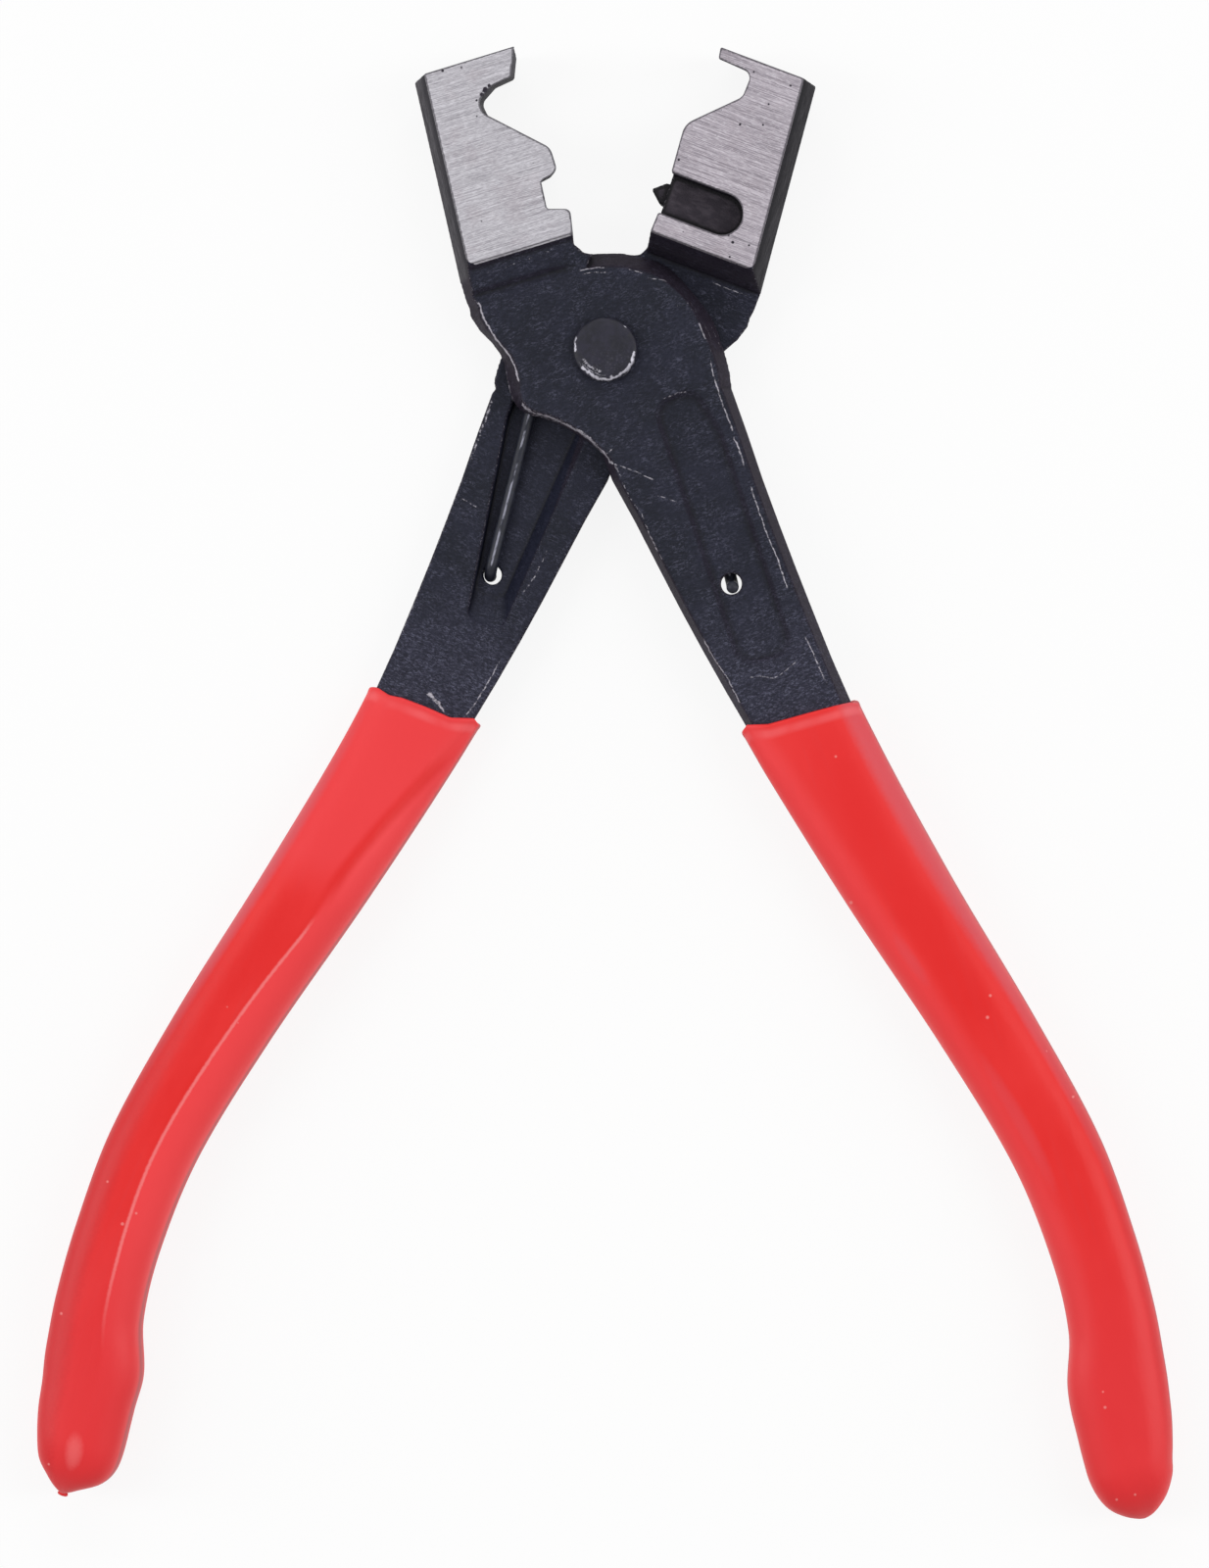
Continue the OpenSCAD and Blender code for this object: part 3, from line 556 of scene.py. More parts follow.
def ground_steel(g, jaw_angle, look, grit, patch, rim):
    """Ground jaw faces: fine scratches across the jaw, stains, grain, pits and painted shade along their
    rounded rim. Gives the colour and the two kinds of scratches that the relief follows."""
    fine = g.pattern(jaw_angle, (0.14, 11, 1), 1, 2, 0.6)
    long = g.pattern(jaw_angle + 1.5, (0.045, 3.4, 1), 1, 3, 0.65)
    cross = g.pattern(jaw_angle - 24, (0.05, 4.2, 1), 1, 2, 0.6)
    stain = g.pattern(0, EVEN, 0.28, 3, 0.55)
    grain = g.pattern(jaw_angle, (1.3, 6, 1), 1, 2, 0.7)
    colour = g.blend(g.step(fine, 0.3, 0.7), look["dark_steel"], look["light_steel"])
    colour = g.tint(colour, LONG_SCRATCH, g.step(long, 0.60, 0.68), 0.42)
    colour = g.tint(colour, CROSS_SCRATCH, g.step(cross, 0.66, 0.72), 0.3)
    colour = g.tint(colour, STAIN, g.step(stain, 0.50, 0.72), 0.25)
    colour = g.tint(colour, GRAIN_DARK, g.step(grain, 0.50, 0.66), 0.34)
    colour = g.tint(colour, GRAIN_PALE, g.step(grain, 0.48, 0.34), 0.3)
    spots = g.spots(g.place(0, EVEN, g.shift), 0.5)
    pit = g.times(g.step(spots, 0.11, 0.06), g.step(patch, 0.5, 0.56))
    here = g.vector("MULTIPLY", g.place(), (1, 1, 0))
    for x, y, size in look["pits"]:
        far = g.plus(g.vector("DISTANCE", here, (x, y, 0)), g.swing(grit, size))
        pit = g.largest(pit, g.step(far, size, size * 0.6))
    colour = g.blend(pit, colour, PIT)
    # Painted shade along the face's rounded rim
    return g.tint(colour, FACE_RIM_SHADE, rim, 0.75), fine, long


def forged_material(name, handle_angle, jaw_angle, seed, look):
    g = Material(name, seed)
    side, recess, jaw, edge = (g.attribute(key) for key in ("side", "recess", "jaw", "edge"))
    grit = g.pattern(0, EVEN, 3.4, 3, 0.7)
    skin, crest, patch = black_skin(g, handle_angle, look["wall"], side, recess)
    skin = jaw_skin(g, skin, jaw_angle, look, jaw, grit)
    lines = g.largest(worn_lines(g, "a", grit), worn_lines(g, "b", grit))
    rubbed = g.times(g.step(g.plus(edge, g.swing(grit, 2.4)), 0.95, 1.4), 0.30)
    worn = g.largest(g.times(lines, 0.9), rubbed)
    skin = g.blend(worn, skin, WORN_STEEL)
    rim = g.step(edge, 0.25, 0.8)
    steel, fine, long = ground_steel(g, jaw_angle, look, grit, patch, rim)
    ground = g.step(g.plus(g.attribute("ground"), g.swing(grit, 0.10)), THICK - 0.30, THICK - 0.22)

    metal = g.largest(g.times(ground, 0.85), g.times(worn, 0.3))
    height = g.plus(crest, g.times(grit, 0.25))
    for part, share in ((side, 0.5), (jaw, 0.8), (recess, 0.7)):
        height = g.times(height, g.without(part, share))
    height = g.mix(ground, height, g.times(g.plus(fine, g.times(long, 0.6)), 0.07))
    return g.shader(Base_Color=g.blend(ground, skin, steel), Metallic=g.times(metal, g.without(rim, 0.7)),
                    Roughness=g.mix(ground, g.mix(side, 0.55, 0.62), g.mix(fine, 0.34, 0.46)),
                    Specular_IOR_Level=g.mix(side, 0.19, 0.07), Normal=g.bump(height, 0.9, 0.2))


# Worn lines as (points in millimetres, half width, strength)
FRONT_LINES = [
    ([(-17.8, 6.7), (-17.3, 6.3), (-16.8, 4.4), (-15.9, 2.9), (-15.3, 1.8), (-14, 0.2), (-13.1, -1),
      (-12.4, -2.5), (-12, -4.4)], 0.18, 1.1),
    ([(-14.8, -0.4), (-14.2, -2.8), (-13.7, -4.9), (-13, -7.1)], 0.22, 1.4),
    ([(-11.6, -7.2), (-11.3, -7.7), (-10.2, -8.6), (-7.8, -9.2), (-5.3, -10.3), (-3.5, -11.3), (-2.4, -12.1),
      (-1.8, -12.7), (-1, -13.6), (-0.1, -14.3), (0.5, -15.3), (1.6, -16)], 0.27, 1.5),
    ([(-4, 10.8), (-2.4, 11.1), (-1.1, 11.3), (0.3, 11.2)], 0.1, 0.6),
    ([(3.1, 11), (4.3, 10.7), (5.4, 10.4)], 0.11, 0.6),
    ([(5.9, 9.8), (7.8, 9.5), (8.6, 9.2)], 0.1, 0.5),
    ([(9.7, 5.8), (10.6, 6.1), (11.6, 6.4), (12.3, 5.6), (12.7, 4.4)], 0.11, 0.3),
    ([(12.8, 3.8), (13.3, 2.5), (13.9, 1.1)], 0.13, 0.75),
    ([(14, 4.1), (14.5, 3), (15.1, 1.7), (15.8, 0)], 0.1, 0.8),
    ([(14.4, -1.2), (14.9, -3.8), (15.6, -5.9), (16.1, -7.5), (16.7, -9.2), (17.2, -10.3),
      (17.6, -11.4)], 0.14, 0.65),
    ([(17.6, -12), (18.2, -13.3), (18.7, -14.7), (19.1, -16.2)], 0.16, 0.75),
    ([(20, -18.8), (20.3, -20), (20.9, -21.6), (21.5, -23.3), (22.2, -25.4), (22.9, -27.1), (23.7, -28.9),
      (24.1, -30.1), (24.6, -31.7), (25, -32.9)], 0.13, 0.72),
    ([(27.3, -39.2), (28, -40.5), (28.6, -41.9), (29.2, -43.2), (29.9, -44.8), (30.5, -45.9)], 0.13, 0.6),
    ([(1.1, -15.6), (2, -17.2), (2.7, -19), (3.3, -20.3), (5, -22.6), (6, -25.3), (7.5, -28.3),
      (8.2, -29.6)], 0.13, 0.45),
    ([(13.3, -39.4), (14.4, -41.5), (15.5, -43.3), (16.8, -45.1), (17.6, -46.8), (18.6, -48.7)], 0.13, 0.7),
    ([(7.8, -6.9), (8.9, -6.4), (10, -6), (11.3, -5.8)], 0.13, 0.45),
    ([(19.5, -45.1), (21.1, -44.8), (23.2, -45.1), (24.5, -44.3), (25.4, -43.5), (26.5, -42.6)], 0.11, 0.45),
    ([(-17, 10.3), (-12.5, 11.8), (-8.4, 13.2), (-4.9, 14.8)], 0.2, 0.12),
]
FRONT_MORE = [
    ([(-3.8, 10.2), (-1.9, 10.6), (0.5, 10.6)], 0.1, 0.4),
    ([(14.5, 4.1), (15.1, 2.9), (15.6, 1.4), (16, 0)], 0.1, 0.7),
    ([(0, -14.4), (1.4, -13.3)], 0.1, 0.5),
    ([(1.6, -15.8), (3, -16.3), (4.6, -16.9), (5.7, -17.5), (6.7, -17.9)], 0.11, 0.5),
    ([(7, -20), (8.4, -20.4), (9.7, -20.9)], 0.1, 0.42),
]
BACK_LINES = [
    ([(-16, -6.5), (-16.5, -7.9), (-17.2, -9.8), (-17.9, -11.7), (-18.6, -13.3),
      (-19, -14.9)], 0.24, 0.5),
    ([(-20.2, -17.3), (-21.1, -19.6), (-22, -21.9), (-22.9, -24.4), (-23.9, -26.8),
      (-24.5, -28.8)], 0.21, 0.45),
    ([(-25.6, -31.4), (-26.6, -33.9), (-27.5, -35.9), (-28.6, -38.6), (-29.7, -40.6), (-30.4, -42),
      (-31.1, -43.6), (-31.9, -45.4)], 0.16, 0.4),
    ([(-14.8, -42.3), (-15.7, -44), (-16.8, -45.8), (-17.7, -47.4), (-18.4, -48.5), (-19.4, -49.8),
      (-19.9, -50.3)], 0.13, 0.6),
    ([(14.1, 9.6), (16.8, 8.5), (19.5, 7.5)], 0.11, 0.45),
    ([(-8.3, -27.1), (-10.3, -31.2), (-12.4, -34.1)], 0.16, 0.3),
]
BACK_MORE = [
    ([(-20.7, -19.9), (-19.4, -20.6), (-17.7, -21.7)], 0.1, 0.45),
    ([(-25.1, -46.9), (-24.3, -47.7), (-23.4, -48.6), (-22.6, -49.7)], 0.32, 0.7),
]

# What differs between the two levers' materials; pits are (x, y, size). The jaw walls' tones carry
# painted light and shade: the back lever's right-facing wall is painted darker than the front lever's
# left-facing one
FRONT_STEEL = {
    "wall": rgb(42, 35, 44), "jaw_wall_light_and_shade": rgb(26, 24, 31), "streaks": 0.35, "slot": rgb(46, 42, 49),
    "light_steel": rgb(192, 190, 196), "dark_steel": rgb(143, 140, 146),
    "pits": [(-16.9, 35, 0.35), (-16.4, 35.6, 0.5), (-15.9, 36.2, 0.3), (-17.6, 34.2, 0.2),
             (-8.2, 20.9, 0.35), (-7.9, 20.1, 0.3), (-22.3, 38.3, 0.25)],
}
BACK_STEEL = {
    "wall": rgb(40, 34, 44), "jaw_wall_light_and_shade": rgb(13, 12, 17), "streaks": 0.16, "slot": rgb(46, 41, 49),
    "light_steel": rgb(184, 177, 185), "dark_steel": rgb(128, 121, 129),
    "pits": [(18.6, 30.6, 0.22), (17.6, 14.5, 0.25), (17.2, 12.5, 0.18), (11.8, 31.6, 0.2)],
}
# Lower outer corner of each ground face in its jaw's frame, and the level above which lines show
FRONT_CORNER, BACK_CORNER = (-14.7, 16.5), (15.1, 17.3)
FRONT_LINES_ABOVE, BACK_LINES_ABOVE = 6.3, 4.0

front_skin = forged_lever("front_lever", "forged_front_lever", "front_half", to_front_handle,
                          FRONT_ANGLE, FRONT_CORNER, FRONT_LINES, FRONT_MORE, FRONT_LINES_ABOVE)
back_skin = forged_lever("back_lever", "forged_back_lever", "back_half", to_back_handle,
                         -BACK_ANGLE, BACK_CORNER, BACK_LINES, BACK_MORE, BACK_LINES_ABOVE)
front_skin.data.materials.append(
    forged_material("forged_front", FRONT_ANGLE + LEAN, FRONT_ANGLE, 3, FRONT_STEEL))
back_skin.data.materials.append(
    forged_material("forged_back", -BACK_ANGLE - LEAN, -BACK_ANGLE, 41, BACK_STEEL))


# Dipped grips: lofted skins with a soft ridge, a wavy lip and a drawn-out tip
GRIP_AROUND, GRIP_ROWS = 128, 190
# Powers of the superellipses of the skin, its inner side and its normals
SKIN_POWER, INNER_POWER, NORMAL_POWER = 3.4, 5, 1.4
# Lengths over which the end rounds off, the outline leads into it and the lip's wave dies out
END_LENGTH, LEAD_IN, LIP_FADE = 8, 12, 6.0
# Gap between the handle and the skin's inner side
INNER_GAP = 0.07
# Distances from the mouth at which its rounding is followed
MOUTH = [0, 0.05, 0.1, 0.16, 0.24, 0.34, 0.46, 0.6, 0.8, 1.05, 1.35, 1.7]
# Marks of points on the inner side: share, distance along, distance from the crest, front, rim
INNER_MARKS = [0.5, 0, 9, 0, 0]


def edge_at(d, column, set_in):
    """Outer or inner edge of a neck and handle at a distance along it."""
    blank = smooth_table(BAR_EDGES, np.clip(d, 8, 168), column)
    return blank - set_in * (1 - ease((d - SET_IN_START) / SET_IN_FADE))


def handle_section(d, neck, wall):
    """Outer and inner edge, top and bottom of a handle with a wall round it. The handle thickens
    from the lap's plate to the full stock less the grip's walls."""
    t = ease((d - LAP_END) / JOGGLE)
    return (edge_at(d, 1, neck[0]) + wall, edge_at(d, 2, neck[1]) - wall,
            PLATE_Z + (THICK - GRIP_WALL - PLATE_Z) * t + wall,
            LAP_LOW * (1 - t) + GRIP_WALL * t - wall)


def grip_skin(form):
    """Points, faces and marks of one grip's skin in its handle's frame."""
    start, tip, up, sharp = form["start"], form["tip"], form["faces_up"], form["sharp"]
    full = tip - END_LENGTH
    outer_line, inner_line, crest = (curve_through(form[key]) for key in ("outer", "inner", "crest"))
    angle = np.linspace(0, 2 * np.pi, GRIP_AROUND, endpoint=False)
    cos, sin = np.cos(angle), np.sin(angle)
    front_side = ease(0.5 + 0.9 * sin * up)

    def lengthwise(across, d):
        """Where a ring lies along the handle; its front side follows the lip near the mouth."""
        wave = np.interp(across, *np.transpose(form["lip"]))
        return -(d + (1 - float(ease((d - start) / LIP_FADE))) * wave * front_side)

    end_angles = np.radians(np.linspace(0, 90, 26)[1:-1])
    rings, marks = [], []
    for d in np.concatenate([start + np.array(MOUTH), np.linspace(start + 2.1, full, GRIP_ROWS),
                             full + END_LENGTH * np.sin(end_angles), [tip - 0.004]]):
        outer, inner, top, low = handle_section(d, form["neck"], GRIP_WALL)
        w = float(ease((d - full + LEAD_IN) / 6))
        outer = outer * (1 - w) + w * np.interp(d, outer_line[:, 0], outer_line[:, 1])
        inner = inner * (1 - w) + w * np.interp(d, inner_line[:, 0], inner_line[:, 1])
        u = np.clip((d - full) / END_LENGTH, 0, 1)
        shrink = math.sqrt(max(1 - u * u, 0.0004))
        across = span(outer, inner, signed_power(cos, SKIN_POWER))
        share = np.clip((across - inner) / max(outer - inner, 1e-6), 0, 1)
        place = float(np.interp(d, crest[:, 0], crest[:, 1]))
        slope = np.logaddexp(0, (place - share) * sharp) / sharp / max(place, 0.1)
        rises, fades = float(ease((d - start) / 14)), 1 - 0.6 * float(ease((d - 138) / 24))
        fall = form["drop"] * rises * fades * slope * shrink
        fall = fall + 0.55 * shrink * np.clip((share - 0.72) / 0.28, 0, 1) ** 2
        if up > 0:
            top = top - fall
        else:
            low = low + fall
        level = span(top, low, shrink * signed_power(sin, SKIN_POWER))
        swell, tuck = math.exp(-((d - start - 0.45) / 0.3) ** 2), math.exp(-((d - start) / 0.10) ** 2)
        bead = 0.05 * swell - 0.24 * tuck
        rings.append(np.stack([across + bead * signed_power(cos, NORMAL_POWER), lengthwise(across, d),
                               level + bead * signed_power(sin, NORMAL_POWER)], 1))
        marks.append(np.stack([share, np.full(GRIP_AROUND, d), (share - place) * (outer - inner),
                               (sin * up > 0.05).astype(float),
                               np.exp(-((sin * up - 0.08) / 0.13) ** 2)], 1))
    for rise, reach in form["drip"]:
        rings.append(np.stack([across.mean() + reach * cos, np.full(GRIP_AROUND, -(tip + rise)),
                               level.mean() + reach * sin], 1))
        marks.append(marks[-1])

    inside = []
    for d in [start + 0.12, start + 1.5, *np.linspace(start + 6, full - 1, 30), full + 3, full + 5.6]:
        outer, inner, top, low = handle_section(d, form["neck"], INNER_GAP)
        shrink = 1.0 if d <= full else math.sqrt(1 - ((d - full) / 6.6) ** 2)
        across = span(outer, inner, signed_power(cos, INNER_POWER) * shrink)
        level = span(top, low, signed_power(sin, INNER_POWER) * shrink)
        inside.append(np.stack([across, lengthwise(across, d), level], 1))
    count = len(inside) + len(rings)
    return (np.concatenate(inside[::-1] + rings),
            ring_faces(count, GRIP_AROUND) + cap_faces(count, GRIP_AROUND),
            np.concatenate([np.tile(INNER_MARKS, (len(inside) * GRIP_AROUND, 1))] + marks))


def dipped_grip(form, name, node, body, from_handle):
    """Skin of one grip with what its material needs: the place across and along it, the distance
    from its crest, its front and rim, the raised bead on the crest that gets a painted highlight and the
    concave band above that which gets painted shade."""
    points, faces, marks = grip_skin(form)
    if form["faces_up"] < 0:
        faces = [face[::-1] for face in faces]
    grip = mesh_object(name, from_handle(points), faces)
    share, along, ridge, front, rim = marks.T
    crisp = front * form["crisp_crest"]
    put_attributes(grip, share=share, along=along, ridge=ridge, in_front=front, rim=rim,
                   bead=crisp * ease((along - 86) / 4) * (1 - ease((along - 138) / 16)),
                   fold=crisp * ease((along - 56) / 8) * (1 - ease((along - 80) / 7)))
    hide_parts(node)
    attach(grip, body)
    return grip


# Forms of the two grips: start and tip along the handle, faces_up 1 where the blank's top face is in
# front, lip the shift of the mouth's edge as (across, along), outer and inner the outline near the
# tip as (along, across), crest the line where the flat turns down to the inner side as (along, share
# across), drop how far it falls, sharp how crisp it is, crisp_crest 1 where a raised bead with a painted
# highlight marks it and shade is painted in the band above, drip the bead that the dip left at the tip
# as (distance past it, radius)
FRONT_FORM = {
    "start": 56.3, "tip": 175.3, "neck": FRONT_NECK, "faces_up": 1, "drop": 0.65, "sharp": 14,
    "crisp_crest": 0, "drip": [],
    "lip": [(1.5, -1), (2, -1.3), (5, -0.45), (10.3, -0.2), (14.5, 0.05), (16.8, 0.25), (17.6, 0.6)],
    "outer": [(148, 29.85), (155, 28.9), (162, 27.6), (166, 26.5), (168.6, 25.6), (170.6, 24.95),
              (172.8, 23.5), (174.2, 21.95), (175, 20.6), (175.3, 19.4)],
    "inner": [(148, 17.6), (151.6, 16.5), (154.9, 15.15), (158, 14.5), (161.7, 14.15), (164.9, 13.9),
              (168, 13.8), (170.6, 14.25), (172.6, 15.2), (174.1, 16.8), (175, 18.4), (175.3, 19.4)],
    "crest": [(56, 0.16), (60, 0.20), (75, 0.26), (89, 0.29), (105, 0.28), (116, 0.27), (150, 0.3),
              (176, 0.4)],
}
BACK_FORM = {
    "start": 54.5, "tip": 174.2, "neck": BACK_NECK, "faces_up": -1, "drop": 0.85, "sharp": 40,
    "crisp_crest": 1, "drip": [(-0.3, 0.4), (-0.15, 0.68), (0.08, 0.76), (0.26, 0.6), (0.36, 0.1)],
    "lip": [(0.2, -0.3), (0.8, -0.7), (4, 0.25), (7.7, -0.05), (11.2, -0.15), (13.2, 0.1),
            (15.2, -0.35), (16.1, -0.2)],
    "outer": [(148, 29.85), (155, 28.8), (160, 27.8), (163.7, 27.1), (167.2, 26.05), (170.2, 24.8),
              (172, 23.1), (173.3, 21.6), (174.2, 20.1)],
    "inner": [(148, 17.7), (151, 16.7), (154, 15.3), (157.7, 14.85), (161.5, 14.5), (166.3, 14.1),
              (169.1, 14.3), (171.1, 15.4), (172.9, 18), (173.7, 19.2), (174.2, 20.1)],
    "crest": [(54, 0.02), (60, 0.1), (66, 0.18), (73, 0.26), (80, 0.31), (88, 0.292), (96, 0.335),
              (104, 0.369), (112, 0.391), (120, 0.402), (128, 0.4), (136, 0.385), (142, 0.365),
              (152, 0.365), (164, 0.42), (176, 0.45)],
}

front_grip = dipped_grip(FRONT_FORM, "dipped_front_grip", "front_grip", "front_half", from_front_handle)
back_grip = dipped_grip(BACK_FORM, "dipped_back_grip", "back_grip", "back_half", from_back_handle)


# Tones of the dip: its own reds, painted sheen on the ramp, the inner facet and the lower part, painted
# shade in the concave band and along the shoulder, painted highlights below the lip and on specks, real
# scuff marks, a painted highlight strip and painted shade along the outer edge, painted shade on the flat
# middle, and a painted highlight on the crest and at the tip
RED, RED_PALE, RED_STREAK = rgb(229, 25, 22), rgb(234, 40, 38), rgb(222, 50, 54)
RAMP_SHEEN_RED, FACET_SHEEN_RED = rgb(237, 58, 62), rgb(248, 68, 72)
FOLD_SHADE_RED, LOWER_SHEEN_RED = rgb(226, 22, 20), rgb(229, 50, 56)
RIM_SHADE_RED, LIP_HIGHLIGHT, SPECK_GLINT = rgb(132, 8, 28), rgb(250, 128, 132), rgb(246, 150, 146)
DULL, OUTER_HIGHLIGHT_RED, EDGE_SHADE_RED = rgb(226, 72, 80), rgb(212, 84, 94), rgb(200, 16, 26)
FLAT_SHADE_RED, HIGHLIGHT_PALE = rgb(226, 20, 18), rgb(250, 128, 128)


def dipped_material(name, handle_angle, seed, look):
    """Red dip with painted sheen on the ramp and the inner facet, painted shade in the concave band between
    them and on the flat middle, a painted highlight on a fine raised ridge, a painted highlight strip and
    painted shade on the outer side, real scuff marks, trapped specks with a painted glint, painted sheen
    towards the tip, a painted highlight below the lip and a soft skin."""
    g = Material(name, seed)
    share, along, front, ridge = (g.attribute(key) for key in ("share", "along", "in_front", "ridge"))
    cloud = g.pattern(handle_angle, (1, 0.45, 1), 0.10, 3, 0.55)
    streak = g.pattern(handle_angle, (0.9, 0.05, 0.9), 1, 2, 0.5)
    fine = g.noise(g.place(), 2.4, 2, 0.5)
    colour = g.blend(g.step(cloud, 0.3, 0.7), RED, RED_PALE)
    colour = g.tint(colour, RED_STREAK, g.step(streak, 0.55, 0.75), 0.16)

    # Painted sheen on the front's ramp
    ramp_sheen = g.times(g.step(g.plus(along, g.times(cloud, 6)), 90, 80), front)
    colour = g.tint(colour, RAMP_SHEEN_RED, ramp_sheen, look["ramp"])
    # Painted sheen on the inner facet
    facet = g.times(g.step(ridge, look["soft"], -look["soft"]), front)
    facet = g.times(facet, g.step(g.plus(along, g.times(cloud, 14)), 176, 140))
    colour = g.tint(colour, FACET_SHEEN_RED, facet, look["facet"])
    beside = g.math("ABSOLUTE", ridge)
    # Painted shade in the concave band beside the crest on the ramp
    fold = g.times(g.step(beside, 1.5, 0.2), g.attribute("fold"))
    colour = g.tint(colour, FOLD_SHADE_RED, fold, 0.85)
    # Painted sheen towards the tip
    colour = g.tint(colour, LOWER_SHEEN_RED, g.step(along, 122, 160), 0.6)
    # Real scuff marks, and painted highlight strips and painted shade patches
    for at, d, half_share, half_d, strength, tone in look["scuffs_and_painted_light"]:
        across = g.math("DIVIDE", g.math("SUBTRACT", share, at), half_share)
        down = g.math("DIVIDE", g.math("SUBTRACT", along, d), half_d)
        spread = g.plus(g.times(across, across), g.times(down, down))
        scuff = g.times(g.step(g.plus(spread, g.times(fine, 0.5)), 1.9, 0.1), front)
        colour = g.tint(colour, tone, scuff, strength)
    # Painted highlight on the raised bead along the crest
    bead = g.times(g.step(g.plus(beside, g.swing(fine, 0.2)), 0.36, 0.06), g.attribute("bead"))
    colour = g.tint(colour, HIGHLIGHT_PALE, bead, 0.8)
    # Painted shade along the shoulder rim
    colour = g.tint(colour, RIM_SHADE_RED, g.attribute("rim"), 0.6)
    # Painted highlight just below the lip
    lip = g.step(g.math("ABSOLUTE", g.math("SUBTRACT", along, look["lip_at"])), 0.9, 0.1)
    lip = g.times(lip, g.step(g.pattern(handle_angle, (0.18, 0.1, 1), 1, 2, 0.5), 0.30, 0.62))
    colour = g.tint(colour, LIP_HIGHLIGHT, lip, g.times(front, 0.3))

    # Specks: small bumps with a painted glint
    here = g.vector("MULTIPLY", g.place(), (1, 1, 0))
    specks = [g.step(g.vector("DISTANCE", here, (x, y, 0)), size * 0.8, size * 0.3)
              for x, y, size in look["specks"]]
    dots = g.step(g.spots(g.place(handle_angle, EVEN, g.shift), 0.13), 0.026, 0.014)
    speck = g.largest(*specks, g.times(dots, 0.7))
    colour = g.tint(colour, SPECK_GLINT, speck, 0.6)
    peel = g.pattern(handle_angle, (1, 0.5, 1), 0.45, 2, 0.5)
    height = g.plus(g.times(peel, 0.8), g.times(fine, 0.06))
    height = g.plus(g.plus(height, g.times(speck, 0.3)), g.times(bead, 0.4))
    return g.shader(Base_Color=colour, Roughness=g.mix(cloud, 0.44, 0.52), Specular_IOR_Level=0.36,
                    Normal=g.bump(height, 0.35, 0.25))


def speck_places(from_handle, places):
    """World places of specks given across and along a handle."""
    p = from_handle(np.array([[a, -d, MID_Z] for a, d, _ in places]))
    return [(x, y, size) for (x, y, _), (_, _, size) in zip(p, places)]


# What differs between the two grips' materials; specks are (across, along, size), scuffs_and_painted_light
# (share across, distance along, half of each, strength, tone): real scuff marks in DULL, the other tones
# painted highlight strips on the outer edge, painted shade on the flat middle and edges and a painted
# highlight at the tip
FRONT_DIP = {
    "ramp": 0.2, "facet": 0.6, "soft": 1.6, "lip_at": 57.6,
    "specks": speck_places(from_front_handle, [
        (12.4, 63, 0.3), (8, 82.6, 0.4), (22.1, 100.6, 0.35), (20.8, 103.3, 0.4),
        (28.4, 117.3, 0.3), (19.2, 158.7, 0.35), (19.6, 156.6, 0.25), (16.7, 171.2, 0.3),
        (19.3, 171.3, 0.3)]),
    "scuffs_and_painted_light": [(0.245, 92.5, 0.06, 4, 0.45, DULL), (0.32, 118.5, 0.08, 10, 0.45, DULL),
               (0.93, 72, 0.11, 30, 0.75, OUTER_HIGHLIGHT_RED), (0.94, 105, 0.06, 26, 0.6, OUTER_HIGHLIGHT_RED),
               (0.55, 82, 0.2, 26, 0.5, FLAT_SHADE_RED), (0.97, 140, 0.08, 34, 0.45, EDGE_SHADE_RED)],
}
BACK_DIP = {
    "ramp": 0.85, "facet": 0.85, "soft": 0.5, "lip_at": 55.8,
    "specks": speck_places(from_back_handle, [
        (27.6, 130.6, 0.3), (23.7, 135.4, 0.4), (22.4, 133.4, 0.3), (27.8, 150, 0.35),
        (22.7, 170.3, 0.3)]),
    "scuffs_and_painted_light": [(0.95, 90, 0.08, 30, 0.8, OUTER_HIGHLIGHT_RED), (0.60, 93, 0.22, 9, 0.75, FLAT_SHADE_RED),
               (0.68, 118, 0.16, 26, 0.5, FLAT_SHADE_RED), (0.48, 167.4, 0.10, 2.4, 0.42, HIGHLIGHT_PALE),
               (0.88, 140, 0.2, 40, 0.7, EDGE_SHADE_RED), (0.97, 128, 0.06, 30, 0.5, EDGE_SHADE_RED)],
}
front_grip.data.materials.append(dipped_material("dipped_front", FRONT_ANGLE + LEAN, 5, FRONT_DIP))
back_grip.data.materials.append(dipped_material("dipped_back", -BACK_ANGLE - LEAN, 19, BACK_DIP))


# Peened rivet: half of its head's outline as (radius, depth below the top), worn lines as above
RIVET_AROUND = 120
HEAD = [(0, 0), (0.9, 0), (1.8, 0.02), (2.6, 0.04), (3.2, 0.07), (3.7, 0.12), (4, 0.2),
        (4.25, 0.34), (4.4, 0.55), (4.47, 0.85), (4.48, 1.3), (4.45, 1.72)]
HEAD_DEPTH, SHANK_R = 1.72, 3.98
RIVET_LINES = [
    ([(-3.9, 1.9), (-4.1, 0.9), (-4.1, 0.2), (-3.95, -0.5)], 0.2, 0.9),
    ([(-3.3, -2.3), (-2.6, -3), (-1.7, -3.6), (-0.8, -4), (0.1, -4.15), (1.6, -3.8), (2.9, -3.1),
      (3.75, -1.9), (4.1, -0.2)], 0.32, 1),
    ([(2.5, 3.4), (2.9, 3), (3.2, 2.5)], 0.14, 0.6),
    ([(-3.2, -1.3), (-1.9, -2.4), (-0.3, -3.2)], 0.4, 0.5),
]


